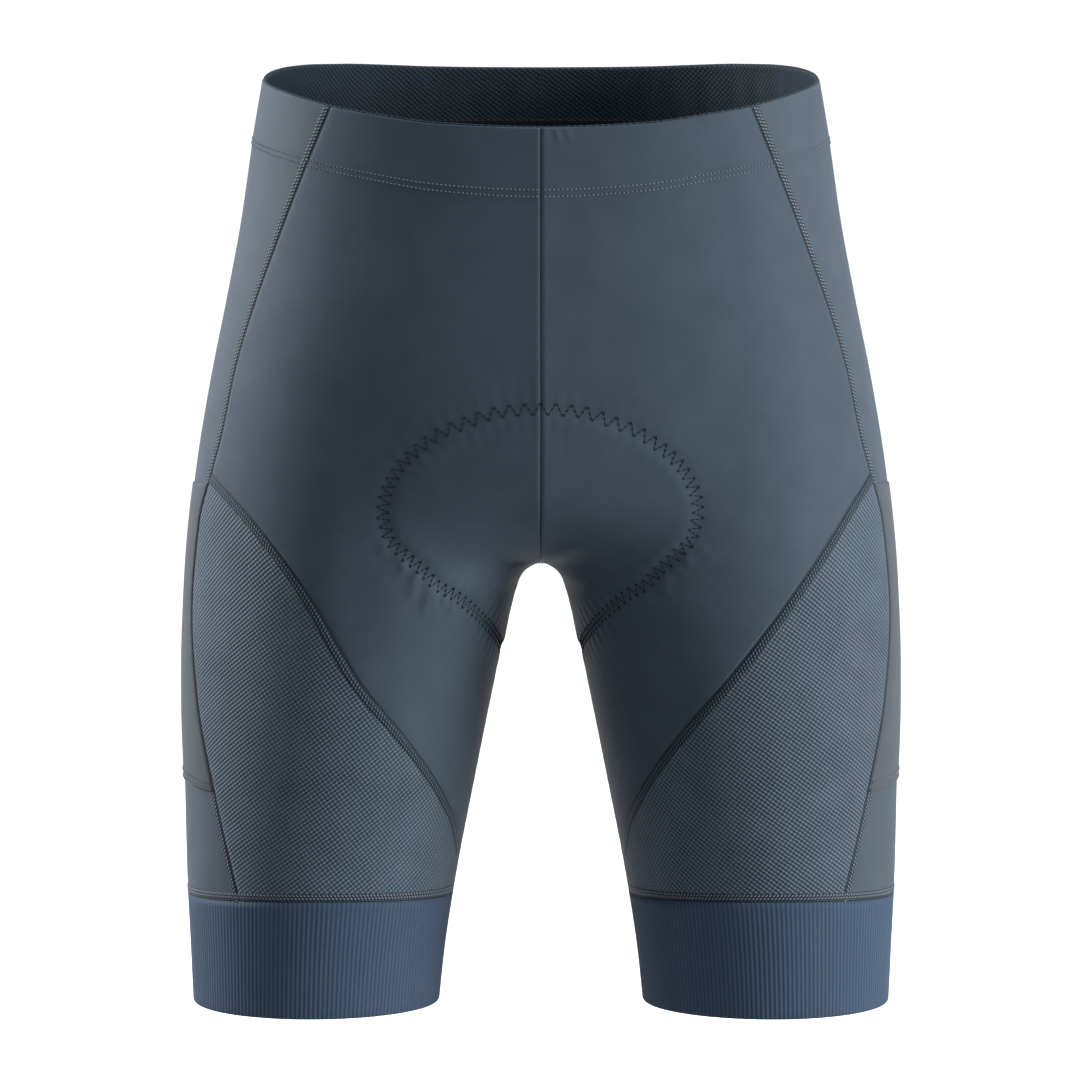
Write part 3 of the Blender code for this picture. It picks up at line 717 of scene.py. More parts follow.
class Knit:
    """A cloth material, with short ways to add nodes that read the piece's own map."""

    def __init__(self, name):
        self.material = bpy.data.materials.new(name)
        self.material.use_nodes = True
        self.nodes = self.material.node_tree.nodes
        self.links = self.material.node_tree.links
        self.shader = self.nodes["Principled BSDF"]
        where = self.nodes.new("ShaderNodeTexCoord")
        parts = self.nodes.new("ShaderNodeSeparateXYZ")
        self.links.new(where.outputs["UV"], parts.inputs[0])
        self.place = where.outputs["Object"]
        self.across, self.along = parts.outputs["X"], parts.outputs["Y"]

    def math(self, operation, *inputs):
        node = self.nodes.new("ShaderNodeMath")
        node.operation = operation
        for place, value in enumerate(inputs):
            if isinstance(value, (int, float)):
                node.inputs[place].default_value = value
            else:
                self.links.new(value, node.inputs[place])
        return node.outputs[0]

    def scaled(self, value, factor, added):
        return self.math("MULTIPLY_ADD", value, factor, added)

    def noise(self, scale, detail=2.0, roughness=0.6):
        node = self.nodes.new("ShaderNodeTexNoise")
        node.inputs["Scale"].default_value = scale
        node.inputs["Detail"].default_value = detail
        node.inputs["Roughness"].default_value = roughness
        self.links.new(self.place, node.inputs["Vector"])
        return node.outputs["Fac"]

    def wave(self, run, pitch, shift=0.0):
        """A wave from 0 to 1 with the pitch in metres."""
        sine = self.math("SINE", self.scaled(run, 2 * math.pi / pitch, shift))
        return self.scaled(sine, 0.5, 0.5)

    def finish(self, tone, colours, height, strength, depth, roughness, sheen, tint=THREAD_TINT):
        """Colour by the tone, bump by the height, and the soft light of loose fibres."""
        mixer = self.nodes.new("ShaderNodeMix")
        mixer.data_type = "RGBA"
        self.links.new(tone, mixer.inputs["Factor"])
        ends = [socket for socket in mixer.inputs if socket.type == "RGBA"]
        for socket, colour in zip(ends, colours):
            socket.default_value = (*colour, 1.0)
        mixed = [socket for socket in mixer.outputs if socket.type == "RGBA"]
        self.links.new(mixed[0], self.shader.inputs["Base Color"])
        bump = self.nodes.new("ShaderNodeBump")
        bump.inputs["Strength"].default_value = strength
        bump.inputs["Distance"].default_value = depth
        self.links.new(height, bump.inputs["Height"])
        self.links.new(bump.outputs["Normal"], self.shader.inputs["Normal"])
        values = {
            "Roughness": roughness, "Specular IOR Level": SPECULAR, "Sheen Weight": sheen,
            "Sheen Roughness": SHEEN_ROUGHNESS, "Sheen Tint": (*tint, 1.0),
        }
        for name, value in values.items():
            self.shader.inputs[name].default_value = value
        return self.material


print("helpers ready")

# %% Jersey
def make_jersey(name, dark, light, grain=1.0):
    """Smooth circular-knit jersey: fine wales, a faint mottle, soft sheen."""
    knit = Knit(name)
    fibre = knit.noise(1500.0)
    mottled = knit.scaled(fibre, 0.45 * grain, knit.noise(55.0, 3.0, 0.55))
    tone = knit.math("SUBTRACT", mottled, 0.22)
    wales, courses = knit.wave(knit.across, 0.00055), knit.wave(knit.along, 0.00042)
    height = knit.scaled(fibre, 0.8, knit.math("MULTIPLY", wales, courses))
    return knit.finish(tone, (dark, light), height, 0.35, 0.00008, 0.66, 0.05, (0.85, 0.92, 1.0))


FRONT_DARK, FRONT_LIGHT = (0.028, 0.042, 0.058), (0.043, 0.060, 0.080)
SIDE_DARK, SIDE_LIGHT = (0.036, 0.050, 0.066), (0.053, 0.070, 0.089)
POCKET_DARK, POCKET_LIGHT = (0.044, 0.050, 0.061), (0.062, 0.069, 0.082)
jersey = make_jersey("front_jersey_cloth", FRONT_DARK, FRONT_LIGHT)
side_jersey = make_jersey("side_jersey_cloth", SIDE_DARK, SIDE_LIGHT)
pocket_jersey = make_jersey("pocket_jersey_cloth", POCKET_DARK, POCKET_LIGHT)
back_jersey = make_jersey("back_jersey_cloth", FRONT_DARK, FRONT_LIGHT)
pad_knit = make_jersey("pad_brushed_knit", (0.008, 0.010, 0.014), (0.022, 0.027, 0.034), 1.6)
print("jerseys made")

# %% Mesh knit
def make_mesh_knit(name, hollow, thread, steep, depth, unevenness):
    """Pique mesh: small raised cells between two sets of slanting lines; the hollows get a
    near-black colour, painted shade.
    """
    knit = Knit(name)
    up_here = knit.scaled(knit.noise(170.0, 1.0, 0.5), unevenness, knit.along)
    cells = []
    for angle, weight in ((math.radians(38), 0.88), (-math.radians(steep), 0.55)):
        sideways = knit.math("MULTIPLY", knit.across, -math.sin(angle))
        wave = knit.wave(knit.scaled(up_here, math.cos(angle), sideways), LATTICE_PITCH)
        cells.append(knit.scaled(knit.math("POWER", wave, 0.6), weight, 1 - weight))
    raised = knit.math("MULTIPLY", *cells)
    # The raised cells set the colour too, so the hollows between them are near black: painted
    # shade in the openings.
    tone = knit.scaled(knit.noise(1100.0), 0.35, raised)
    tone = knit.scaled(knit.noise(48.0, 2.0, 0.5), 0.3, tone)
    tone = knit.math("SUBTRACT", tone, 0.3)
    return knit.finish(tone, (hollow, thread), raised, 0.9, depth, 0.64, 0.04)


LATTICE_PITCH = 0.0020
mesh_knit = make_mesh_knit(
    "thigh_mesh_cloth", (0.007, 0.013, 0.020), (0.088, 0.120, 0.155), 50, 0.0005, 0.0007
)
# The inside knit is coloured far darker than the thigh mesh: painted shade inside the waist
# opening.
hem_knit_painted_shade = make_mesh_knit(
    "waist_inside_knit_painted_shade", (0.004, 0.008, 0.012), (0.024, 0.038, 0.052), 44, 0.0003, 0.0020
)
print("mesh knits made")

# %% [markdown]
# The leg bands are a rib knit in a bluer yarn. The ribs are real relief. The material adds the
# yarn's fibres, a slow drift of tone, and painted shade that darkens the valleys, which it
# finds from the same distance round the leg that placed the ribs.

# %% Rib knit and threads
RIBS = 180


def make_rib_knit(name, valley, ridge):
    knit = Knit(name)
    fibre = knit.noise(1300.0)
    # The rib wave darkens the colour in the valleys: painted shade.
    tone = knit.scaled(fibre, 0.35, knit.wave(knit.across, 1.0 / RIBS, math.pi / 2))
    tone = knit.scaled(knit.noise(38.0, 3.0, 0.5), 0.5, tone)
    tone = knit.scaled(tone, 0.62, -0.12)
    height = knit.scaled(fibre, 0.8, knit.wave(knit.along, 0.0011))
    return knit.finish(tone, (valley, ridge), height, 0.3, 0.00012, 0.68, 0.05, (0.70, 0.80, 1.0))


def make_thread(name, dark, light):
    """Twisted sewing thread."""
    knit = Knit(name)
    twist = knit.noise(2200.0)
    return knit.finish(twist, (dark, light), twist, 0.4, 0.0001, 0.60, 0.02)


def make_flatlock(name, gap, thread):
    """Covering thread of a flat seam: three columns of short slanting stitches, with painted shade
    in the gaps.
    """
    knit = Knit(name)
    stitches = knit.wave(knit.scaled(knit.across, 0.6, knit.along), 0.0019)
    columns = knit.wave(knit.across, 0.00165, math.pi / 2)
    dashes, columns = knit.math("POWER", stitches, 1.2), knit.math("POWER", columns, 0.7)
    weave = knit.math("MULTIPLY", dashes, columns)
    # The gaps between stitches show the dark cloth, made darker still as painted shade between the
    # threads.
    tone = knit.math("SUBTRACT", knit.scaled(knit.noise(1800.0), 0.2, weave), 0.08)
    return knit.finish(tone, (gap, thread), weave, 0.9, 0.0004, 0.60, 0.03)


rib_knit = make_rib_knit("band_rib_cloth", (0.024, 0.041, 0.070), (0.046, 0.071, 0.114))
seam_thread = make_thread("seam_thread", (0.075, 0.095, 0.116), (0.150, 0.180, 0.210))
# Real dark thread for the pad zigzag; the thin strips along the seams use it as painted shade.
dark_thread_and_painted_shade = make_thread("dark_thread_and_painted_shade", (0.006, 0.009, 0.014), (0.015, 0.022, 0.031))
loop_thread = make_thread("looping_thread", (0.003, 0.004, 0.007), (0.012, 0.016, 0.022))
flatlock = make_flatlock("flatlock_thread", (0.008, 0.013, 0.019), (0.150, 0.182, 0.216))
mesh_flatlock = make_flatlock(
    "slant_flatlock_thread", (0.005, 0.009, 0.014), (0.080, 0.105, 0.134)
)
print("rib and threads made")

# %% [markdown]
# ## Making a piece of cloth
# Every panel starts as a flat grid from bmesh. Its points are sent to the body by their share
# across the panel and their level down it, then raised by the relief. Solidify gives the
# cloth its thickness inward. The wearer's right half is the mirror image, with its own folds.

# %% Panel maker
CLOTH = 1.1
WELD = 0.003
points_made = []


def add_mesh(name, bm, materials):
    """Turn a finished drawing into an object."""
    mesh = bpy.data.meshes.new(name)
    bm.to_mesh(mesh)
    bm.free()
    for material in materials:
        mesh.materials.append(material)
    return add_thing(name, mesh)


def finish_piece(name, bm, materials, node=None, thickness=0.0):
    """Make an object of a mesh drawn in millimetres, and hang it on the frame."""
    bmesh.ops.scale(bm, vec=(METRES, METRES, METRES), verts=bm.verts)
    thing = add_mesh(name, bm, materials)
    thing.data.shade_smooth()
    if thickness:
        solidify = thing.modifiers.new("thickness", "SOLIDIFY")
        solidify.thickness = thickness * METRES
        solidify.offset = -1.0
    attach(thing, "root")
    if node:
        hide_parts(node)
    points_made.append(len(thing.data.vertices))
    return thing


def grid_shares(bm, columns, rows):
    """A grid, with each point's share across and its row from the top."""
    made = bmesh.ops.create_grid(bm, x_segments=columns, y_segments=rows, size=1.0)
    places = np.array([vertex.co for vertex in made["verts"]])
    row = np.rint((1 - places[:, 1]) / 2 * rows).astype(int)
    return made["verts"], (places[:, 0] + 1) / 2, row


def mirrored(sign, *arrays):
    """The same arrays on the wearer's left (+1) or right (-1)."""
    return tuple(array * np.array([sign, 1.0, 1.0]) for array in arrays)


def place_points(bm, verts, points, sign):
    """Send a grid to its points, and turn its faces over on the wearer's right."""
    for vertex, point in zip(verts, *mirrored(sign, points)):
        vertex.co = point
    if sign < 0:
        faces = dict.fromkeys(face for vertex in verts for face in vertex.link_faces)
        bmesh.ops.reverse_faces(bm, faces=list(faces))


def write_uv(bm, verts, across, along):
    """Lay the piece's map out in metres."""
    for index, vertex in enumerate(verts):
        vertex.index = index
    layer = bm.loops.layers.uv.new("cloth")
    for face in bm.faces:
        for loop in face.loops:
            index = loop.vert.index
            loop[layer].uv = (across[index], along[index])


def rows_of(first, last, per_level):
    """Levels of a panel's rows, closer at the rolled top edge."""
    regular = np.linspace(first, last, round((last - first) * per_level) + 1)
    if first > 0:
        return regular
    return np.concatenate([[0.0, 0.008, 0.02, 0.04, 0.07], regular[1:]])

def draw_panel(name, columns, levels, start, end, material, crowd=1.0, shape=None):
    """One panel of cloth on each side. The shape may bend its levels and lift it."""
    made = []
    for side, sign in SIDES:
        bm = bmesh.new()
        verts, across, row = grid_shares(bm, columns, len(levels) - 1)
        level, lift, thickness = levels[row], 0.0, CLOTH
        if shape:
            level, lift, thickness = shape(across, level)
        share = across ** crowd if crowd > 0 else 1 - (1 - across) ** -crowd
        around = mix(start(level, sign), end(level, sign), share)
        points, _ = cloth(around, level, sign, lift)
        place_points(bm, verts, points, sign)
        round_body = -distance_round(around, points[:, 2])
        write_uv(bm, verts, round_body * METRES, points[:, 2] * METRES)
        bmesh.ops.remove_doubles(bm, verts=bm.verts, dist=WELD)
        made.append(finish_piece(
            f"{name}_{side}_cloth", bm, [material], f"{name}_{side}", thickness
        ))
    return made


print("panel maker ready")

# %% [markdown]
# ## The panels
# The front runs from the centre front to the side seam, and below the hip to the slanting
# seam, until it ends in a point at the inseam. The mesh fills the thigh, the side panel runs
# the whole height, and the back closes the rest.

# %% Front, side, mesh and back
PER_LEVEL = 8
FINE = 1.0

whole = rows_of(0, BAND_LEVEL, PER_LEVEL)
fronts = draw_panel(
    "front", int(96 * FINE), rows_of(0, TIP_LEVEL, PER_LEVEL), centre_front, slant_seam,
    jersey, crowd=1.2,
)
sides = draw_panel(
    "side", int(44 * FINE), whole, side_seam, back_seam, side_jersey,
)
meshes = draw_panel(
    "thigh_mesh", int(56 * FINE), rows_of(APEX_LEVEL, BAND_LEVEL, PER_LEVEL),
    slant_seam, side_seam, mesh_knit,
)
backs = draw_panel(
    "back", int(64 * FINE), whole, back_seam, centre_back, back_jersey, crowd=-1.2,
)
print("cloth points so far", sum(points_made))

# %% [markdown]
# ## Side pockets
# Each pocket is one more layer on the side panel, closed in the two seams beside it and along
# its lower edge. Its mouth is a turned edge that lies close to the leg, so it shows as a line.

# %% Pockets
POCKET_TOP = 13.45
POCKET_BOTTOM = 27.95
POCKET_LIFT = 0.75
POCKET_CLOTH = 0.6


def pocket_start(level, sign=1.0):
    return side_seam(level) + 0.001


def pocket_end(level, sign=1.0):
    return back_seam(level) - 0.001


def pocket_level(across, level):
    """The mouth sags a little between the seams, and the lower edge curves up."""
    middle = np.sin(np.pi * np.clip(across, 0, 1))
    below = (level - POCKET_TOP) / (POCKET_BOTTOM - POCKET_TOP)
    return level + middle * mix(0.35, -0.15, below)


def pocket_shape(across, level):
    edge = smooth_step(np.minimum(across, 1 - across) / 0.07)
    return pocket_level(across, level), 0.3 + (POCKET_LIFT - 0.3) * edge, POCKET_CLOTH


pockets = draw_panel(
    "pocket", int(40 * FINE), np.linspace(POCKET_TOP, POCKET_BOTTOM, int(90 * FINE)),
    pocket_start, pocket_end, pocket_jersey, shape=pocket_shape,
)
print("pockets", len(pockets))

# %% [markdown]
# ## Ribbed leg bands
# The band is a ring: a grid wrapped round the leg and welded where its ends meet. Four
# columns to a rib, shaded smooth, give a round ridge. The lower edge rolls in, as the edge
# of a doubled knit does.

# %% Leg bands
RIB_HEIGHT = 0.32
HEM_ROLL = 1.6
BAND_ROWS = 20
COLUMNS_PER_RIB = 4


def level_normals(around, z):
    """Directions straight out of a ring of the body."""
    step = 0.002
    along = body(around + step, z) - body(around - step, z)
    return unit(np.stack([along[:, 1], -along[:, 0], 0 * z], axis=-1))


def make_leg_band(side, sign):
    bm = bmesh.new()
    verts, around, row = grid_shares(bm, RIBS * COLUMNS_PER_RIB, BAND_ROWS)
    rolled = np.clip(row - (BAND_ROWS - 4), 0, 4) / 4
    top = BAND_TOP_Z + BAND_TOP_FRONT_LIFT * front_share(around) - 0.1
    share_down = np.clip(row / (BAND_ROWS - 4), 0, 1)
    z = mix(top, HEM_Z + HEM_ROLL, share_down) - HEM_ROLL * np.sin(rolled * math.pi / 2)
    ribs = RIB_HEIGHT * (0.5 * np.cos(2 * math.pi * RIBS * around) - 0.5)
    flatten = 1 - 0.6 * np.exp(-np.abs(top - z) / 3.0)
    height = ribs * flatten - HEM_ROLL * (1 - np.cos(rolled * math.pi / 2)) + 0.25
    height += 0.25 * np.sin(around * 2 * math.pi * 3 + 0.8) * np.exp(-np.abs(z - HEM_Z) / 14.0)
    points = body(around, z) + level_normals(around, z) * height[:, None]
    place_points(bm, verts, points, sign)
    write_uv(bm, verts, around, z * METRES)
    bmesh.ops.remove_doubles(bm, verts=bm.verts, dist=WELD)
    name = f"leg_band_{side}"
    return finish_piece(f"{name}_cloth", bm, [rib_knit], name, CLOTH)


bands = [make_leg_band(side, sign) for side, sign in SIDES]
print("bands", len(bands), "with", RIBS, "ribs each")

# %% [markdown]
# ## The turned-in waist
# The waist is hemmed by turning the top of the panels inside and stitching through both
# layers. The turned part shows at the back of the opening with the knit's inner face outward,
# its colours made much darker as painted shade inside the opening, and near its lower edge
# the looping threads of the stitching make a band.

# %% Waist hem
HEM_INSET = 1.3


def make_waist_hem():
    bm = bmesh.new()
    rows = 36
    maps = []
    for _, sign in SIDES:
        verts, around, row = grid_shares(bm, 280, rows)
        full = STITCH_ROWS["lower"](around) + 1.6
        depth = np.where(row < 3, row / 3, 1 + (full - 1) * (row - 3) / (rows - 3))
        z = WAIST["z"](around) - depth
        roll = np.sqrt(np.maximum(1 - (1 - np.clip(depth, 0, 1)) ** 2, 0)) * HEM_INSET
        loops = smooth_step((depth - STITCH_ROWS["upper"](around) + 2.2) / 0.6)
        waves = 0.12 * np.sin(around * 150) * smooth_step(depth / 12)
        inward = roll + 0.35 * loops + waves + 0.15
        points = body(around, z) - level_normals(around, z) * inward[:, None]
        place_points(bm, verts, points, sign)
        maps.append((list(verts), around * sign * 0.42, z * METRES, loops))
    everything = maps[0][0] + maps[1][0]
    across, along, loops = (np.concatenate([side[place] for side in maps]) for place in (1, 2, 3))
    write_uv(bm, everything, across, along)
    for face in bm.faces:
        face.material_index = int(np.mean([loops[vertex.index] for vertex in face.verts]) > 0.5)
    bmesh.ops.remove_doubles(bm, verts=bm.verts, dist=WELD)
    return finish_piece(
        "waist_hem_cloth", bm, [hem_knit_painted_shade, loop_thread], "waist_hem", 0.8
    )


waist_hem = make_waist_hem()
print("waist hem made")

# %% [markdown]
# ## Flat seams
# The panels are joined edge to edge by a flatlock seam. Its covering threads make a flat strip
# about five millimetres wide. On one side, where the raw edge ends, a sharp thin dark strip is
# painted shade: the shadow line of the raw edge. Each strip is a narrow grid laid on the
# finished cloth beside the seam and rounded across.

# %% Flatlock strips
STRIP_HEIGHT = 0.42
STRIP_WIDTH = 4.8
STRIP_SPACING = 1.2


def strip_along(name, line, sign, width, offset, height, material, cells=8, lift=0.0):
    """A strip on the cloth along a line, moved sideways by the offset."""
    bm = bmesh.new()
    verts, across, row = grid_shares(bm, cells, len(line.run) - 1)
    wide = np.broadcast_to(width, line.run.shape)[row]
    out = (across - 0.5) * wide + offset * wide / np.max(wide)
    around, level = shifted(line.around[row], line.level[row], line.beside[row], out)
    points, normals = cloth(around, level, sign, lift)
    points += normals * (height * (1 - np.abs(2 * across - 1) ** 4) - 0.12)[:, None]
    place_points(bm, verts, points, sign)
    write_uv(bm, verts, out * METRES, line.run[row] * METRES)
    bm.normal_update()
    middle = len(verts) // 2
    facing = Vector(normals[middle] * np.array([sign, 1.0, 1.0]))
    if verts[middle].normal.dot(facing) < 0:
        bmesh.ops.reverse_faces(bm, faces=bm.faces)
    return finish_piece(name, bm, [material])


def seam_with_shadow_line(name, seam, first, last, offset, material, width=STRIP_WIDTH):
    """A flatlock strip and a thin strip of painted shade along the raw edge, on both sides of the
    body.
    """
    for side, sign in SIDES:
        line = Line(*down(seam, first, last, sign), STRIP_SPACING)
        wide = width(line.level) if callable(width) else width
        strip_along(f"{name}_{side}", line, sign, wide, offset, STRIP_HEIGHT, material)
        # The thin dark strip is painted shade, the shadow line where the raw edge ends.
        strip_along(f"{name}_edge_{side}", line, sign, 1.0, 0.0, 0.2, dark_thread_and_painted_shade, 4)


def side_strip_width(level):
    return mix(STRIP_WIDTH, 3.4, smooth_step((level - POCKET_BOTTOM) / 0.8))


seam_with_shadow_line("side_seam", side_seam, 0.01, BAND_LEVEL, -2.7, flatlock, side_strip_width)
seam_with_shadow_line("slant_seam", slant_seam, APEX_LEVEL, TIP_LEVEL - 0.2, -2.7, mesh_flatlock)
seam_with_shadow_line("back_side_seam", back_seam, 0.01, BAND_LEVEL, 2.7, flatlock)
seam_with_shadow_line("inseam", centre_front, CROTCH_LEVEL + 0.3, BAND_LEVEL, -2.7, flatlock)
round_leg = np.linspace(0.0, 1.0, 600)
for side, sign in SIDES:
    line = Line(round_leg, 0 * round_leg + BAND_LEVEL - 0.02, STRIP_SPACING)
    strip_along(f"band_seam_{side}", line, sign, 4.4, -2.3, STRIP_HEIGHT, flatlock)
    # A thin dark strip of painted shade, the shadow line along the raw edge of the band seam.
    strip_along(f"band_seam_painted_shadow_line_{side}", line, sign, 1.0, 0.1, 0.26, dark_thread_and_painted_shade, 4)
# The centre seams are only a thin dark strip of painted shade, the shadow in the crease between
# the panels.
for name, seam in (("centre_front_painted_shade_line", centre_front), ("centre_back_painted_shade_line", centre_back)):
    line = Line(*down(seam, 0.01, CROTCH_LEVEL - 0.05), STRIP_SPACING)
    strip_along(name, line, 1.0, 1.0, 0.0, 0.3, dark_thread_and_painted_shade, 4)
print("seams laid")

# %% [markdown]
# ## Loose stitches
# The waist and the pocket's lower edge are closed with two rows of short stitches, and the
# seat pad is held by a zigzag that steps three times each way. Each stitch is a small bead of
# a sphere, stretched along its thread and half sunk in the cloth.

# %% Stitch maker
def bead_of_thread():
    """Points and faces of one small sphere."""
    bm = bmesh.new()
    bmesh.ops.create_uvsphere(bm, u_segments=6, v_segments=4, radius=0.5)
    bm.verts.index_update()
    points = np.array([vertex.co for vertex in bm.verts])
    faces = np.array([[loop.vert.index for loop in face.loops] + [-1] * (4 - len(face.loops))
                      for face in bm.faces])
    bm.free()
    return points, faces


def lay_stitches(name, rows, length, thickness, material):
    """Beads of thread: each row gives middles, directions and normals."""
    middles, ways, normals = (np.concatenate([row[place] for row in rows]) for place in range(3))
    bead, bead_faces = bead_of_thread()
    axes = (ways * length, np.cross(normals, ways) * thickness, normals * thickness)
    stretched = (bead[:, i][None, :, None] * axes[i][:, None, :] for i in range(3))
    points = middles[:, None, :] + sum(stretched)
    faces = [
        [corner + len(bead) * count for corner in face if corner >= 0]
        for count in range(len(middles)) for face in bead_faces.tolist()
    ]
    mesh = bpy.data.meshes.new(name)
    mesh.from_pydata(points.reshape(-1, 3), [], faces)
    bm = bmesh.new()
    bm.from_mesh(mesh)
    bpy.data.meshes.remove(mesh)
    bmesh.ops.recalc_face_normals(bm, faces=bm.faces)
    return finish_piece(name, bm, [material])


def row_of_stitches(around, level, pitch, sign, lift):
    """Stitches along a line on the cloth."""
    line = Line(around, level, pitch / 4)
    points, normals = cloth(line.around, line.level, sign, lift)
    ways = unit(np.gradient(points, axis=0))
    return mirrored(sign, points[2::4], ways[2::4], normals[2::4])


print("stitch maker ready")

# %% Waist and pocket stitching
STITCH_PITCH = 2.2
POCKET_STITCH_PITCH = 1.9
STITCH_LIFT = 0.24
half_ring = np.linspace(0.002, 0.998, 900)
waist_rows = []
pocket_rows = []
for _, sign in SIDES:
    for row in ("upper", "lower"):
        level = level_at(half_ring, WAIST["z"](half_ring) - STITCH_ROWS[row](half_ring))
        waist_rows.append(row_of_stitches(half_ring, level, STITCH_PITCH, sign, STITCH_LIFT))
    for drop in (0.08, 0.30, 0.36):
        across = np.linspace(0.01, 0.99, 200)
        level = pocket_level(across, np.full(200, POCKET_BOTTOM)) - drop
        around = mix(pocket_start(level), pocket_end(level), across)
        pocket_rows.append(
            row_of_stitches(around, level, POCKET_STITCH_PITCH, sign, POCKET_LIFT + 0.1)
        )
lay_stitches("waist_stitching", waist_rows, 1.35, 0.70, seam_thread)
lay_stitches("pocket_stitching", pocket_rows, 1.4, 0.7, seam_thread)
print("waist stitches", sum(len(row[0]) for row in waist_rows))

# %% Pad zigzag
ZIGZAG_WIDTH = 7.0
ZIGZAG_PITCH = 7.7
GATHERED_PITCH = 4.9
GATHERS_START, GATHERS_LENGTH = 34, 60
STEPS_EACH_WAY = 3


def zigzag_rows(line, sign):
    """A three-step zigzag: short stitches that climb and fall across the line."""
    gathered = smooth_step((line.run - GATHERS_START) / GATHERS_LENGTH)
    pitch = mix(ZIGZAG_PITCH, GATHERED_PITCH, gathered)
    stitches = np.cumsum(2 * STEPS_EACH_WAY / pitch) * (line.run[1] - line.run[0])
    count = np.arange(0, int(stitches[-1]))
    run = np.interp(count, stitches - stitches[0], line.run)
    phase = (count % (2 * STEPS_EACH_WAY)) / STEPS_EACH_WAY
    swing = (0.5 - np.abs(phase - 1)) * ZIGZAG_WIDTH
    around = np.interp(run, line.run, line.around)
    level = np.interp(run, line.run, line.level)
    beside = np.stack([np.interp(run, line.run, line.beside[:, i]) for i in range(3)], axis=-1)
    points, normals = cloth(*shifted(around, level, unit(beside), swing), sign, 0.12)
    steps = np.diff(points, axis=0)
    middles = (points[1:] + points[:-1]) / 2
    return mirrored(sign, middles, unit(steps), normals[1:]), np.linalg.norm(steps, axis=1)


pad_paths = (pad_front_path, pad_back_path)
zigzags = [zigzag_rows(path, sign) for path in pad_paths for _, sign in SIDES]
stitch_length = float(np.median(zigzags[0][1]))
lay_stitches(
    "pad_zigzag", [rows for rows, _ in zigzags], stitch_length * 0.98, 0.52,
    dark_thread_and_painted_shade,
)
print("zigzag stitch", round(stitch_length, 2), "mm long")

# %% [markdown]
# ## The seat pad
# Inside, a foam pad faced with brushed knit covers the crotch. Its four quarters meet on the
# centre line above the crotch and on the inseam below it. It is thickest along the middle,
# thins to a sewn edge, and two long channels let it bend.

# %% Seat pad
PAD_INSET = 2.4
PAD_MIDDLE = 5.6
PAD_EDGE_THICKNESS = 1.2
PAD_CHANNEL_DEPTH = 1.6
PAD_CHANNELS = ((0.42, 0.045), (0.78, 0.04))


def pad_quarter(bm, levels, cells, is_front):
    """One quarter of the pad: its outer points in place, and where the inner ones go."""
    verts, across, row = grid_shares(bm, cells, len(levels) - 1)
    if is_front:
        edge = solve(0.0, 0.4, lambda u, p: u < PAD_EDGE["front"](p[:, 2]), levels)[row]
        around, share, centre = across * edge, across, 0.0
    else:
        edge = solve(0.6, 1.0, lambda u, p: 1 - u > PAD_EDGE["back"](p[:, 2]), levels)[row]
        around, share, centre = 1 - (1 - across) * (1 - edge), 1 - across, 1.0
    level = levels[row]
    points, normals = on_level(around, level), outward(around, level)
    reach = np.linalg.norm(on_level(edge, level) - on_level(0 * edge + centre, level), axis=1)
    from_end = np.minimum(level - levels[0], levels[-1] - level) * 7.5
    rim = smooth_step(np.minimum((1 - share) * reach, from_end) / 12)
    channels = sum(np.exp(-(((share - place) / wide) ** 2)) for place, wide in PAD_CHANNELS)
    thick = mix(PAD_EDGE_THICKNESS, PAD_MIDDLE, rim) - PAD_CHANNEL_DEPTH * channels * rim
    outer = points - normals * PAD_INSET
    return verts, outer, outer - normals * thick[:, None]


def make_seat_pad():
    bm = bmesh.new()
    levels = np.linspace(PAD_TOP_LEVEL, PAD_BOTTOM_LEVEL, 65)
    target = bm.verts.layers.float_vector.new("inner")
    for _, sign in SIDES:
        for is_front in (True, False):
            verts, outer, inner = pad_quarter(bm, levels, 26, is_front)
            place_points(bm, verts, outer, sign)
            for vertex, inside in zip(verts, *mirrored(sign, inner)):
                vertex[target] = inside
    bmesh.ops.remove_doubles(bm, verts=bm.verts, dist=0.01)
    made = bmesh.ops.extrude_face_region(bm, geom=list(bm.faces), use_keep_orig=True)
    for part in made["geom"]:
        if isinstance(part, bmesh.types.BMVert):
            part.co = part[target]
    bmesh.ops.recalc_face_normals(bm, faces=bm.faces)
    return finish_piece("seat_pad_cloth", bm, [pad_knit], "seat_pad")


seat_pad = make_seat_pad()
print("seat pad made")
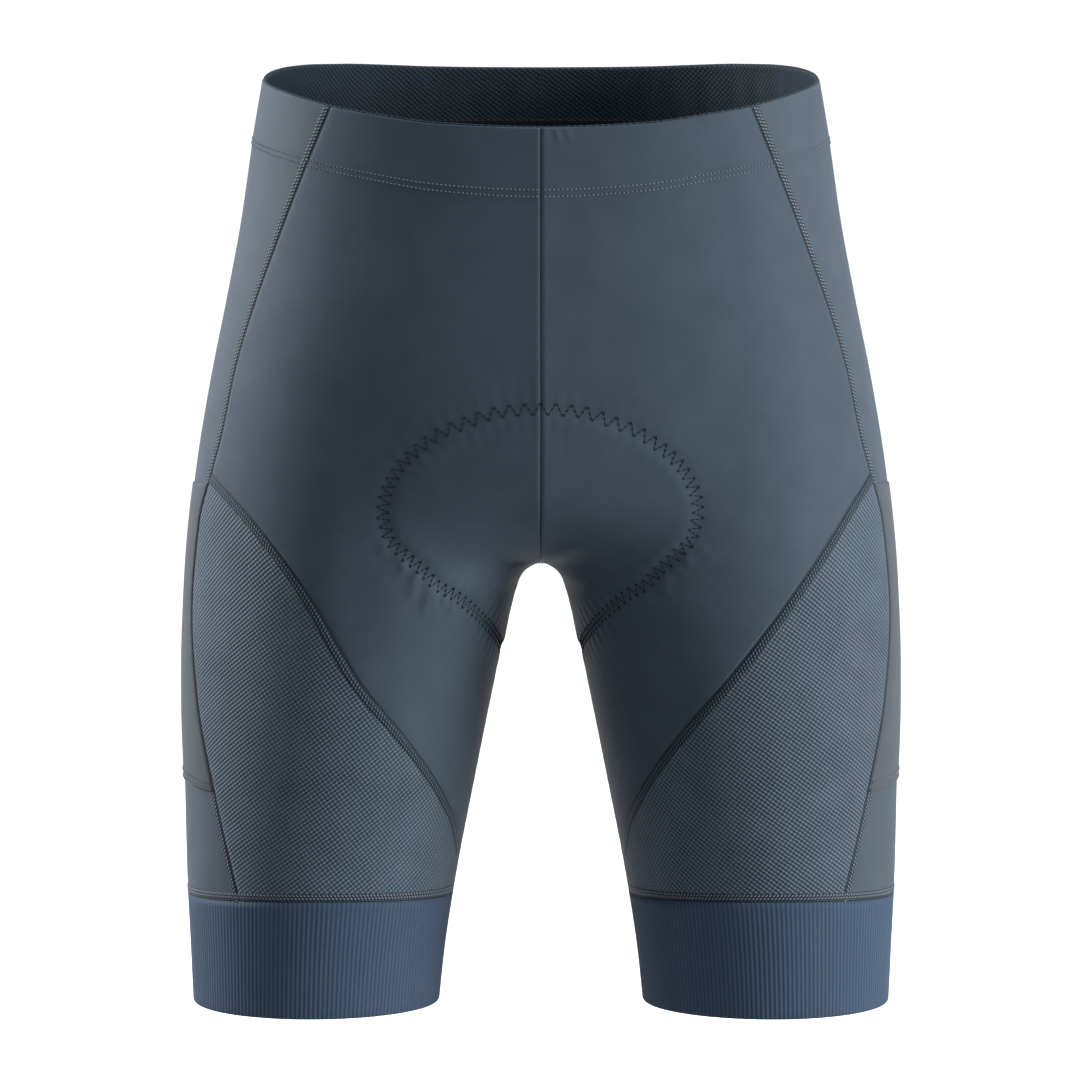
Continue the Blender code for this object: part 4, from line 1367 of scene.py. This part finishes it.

# %% [markdown]

# %% [markdown]
# ## Floor and light
# The picture is a cut-out on white, lit by a large soft light from the right and a weaker one
# from behind on the left that catches the edge of the hip. The floor behind is white. In
# front of the garment, below the picture, it is grey, or it would throw light up into every
# fold and turn the dark cloth hazy.

# %% Stage
FLOOR_Z = -0.62
FLOOR_EDGE_Y = 0.35
FLOOR_REACH = 400.0
WORLD_COLOUR = (0.95, 0.97, 1.0, 1.0)
WORLD_STRENGTH = 0.45


def make_floor(name, near_y, far_y, colour):
    """A flat sheet of floor between two distances."""
    bm = bmesh.new()
    bmesh.ops.create_grid(bm, x_segments=1, y_segments=1, size=FLOOR_REACH)
    for vertex in bm.verts:
        vertex.co.y = near_y if vertex.co.y < 0 else far_y
        vertex.co.z = FLOOR_Z
    material = bpy.data.materials.new(name)
    material.use_nodes = True
    shader = material.node_tree.nodes["Principled BSDF"]
    shader.inputs["Base Color"].default_value = (*colour, 1.0)
    shader.inputs["Roughness"].default_value = 0.9
    add_mesh(name, bm, [material])


def add_softbox(name, place, aim, size, power):
    data = bpy.data.lights.new(name, "AREA")
    data.shape = "RECTANGLE"
    data.size, data.size_y = size
    data.energy = power
    light = add_thing(name, data)
    light.location = place
    light.rotation_euler = (Vector(aim) - Vector(place)).to_track_quat("-Z", "Y").to_euler()


make_floor("white_floor", FLOOR_EDGE_Y, FLOOR_REACH, (0.93, 0.935, 0.94))
make_floor("grey_floor", -FLOOR_REACH, FLOOR_EDGE_Y, (0.25, 0.25, 0.25))
add_softbox("key_light", (2.85, -0.9, -0.05), (0.0, 0.0, -0.2), (1.1, 1.7), 196.0)
add_softbox("edge_light", (-1.5, 0.42, 0.45), (-0.15, 0.0, -0.1), (0.5, 0.7), 50.0)
sun = bpy.data.lights.new("overhead_light", "SUN")
sun.energy = 2.6
sun.angle = math.radians(25)
add_thing("overhead_light", sun)
world = bpy.data.worlds.new("white_surround")
world.use_nodes = True
background = world.node_tree.nodes["Background"]
background.inputs["Color"].default_value = WORLD_COLOUR
background.inputs["Strength"].default_value = WORLD_STRENGTH
bpy.context.scene.world = world
bpy.context.scene.view_settings.view_transform = "Standard"
print("stage set")
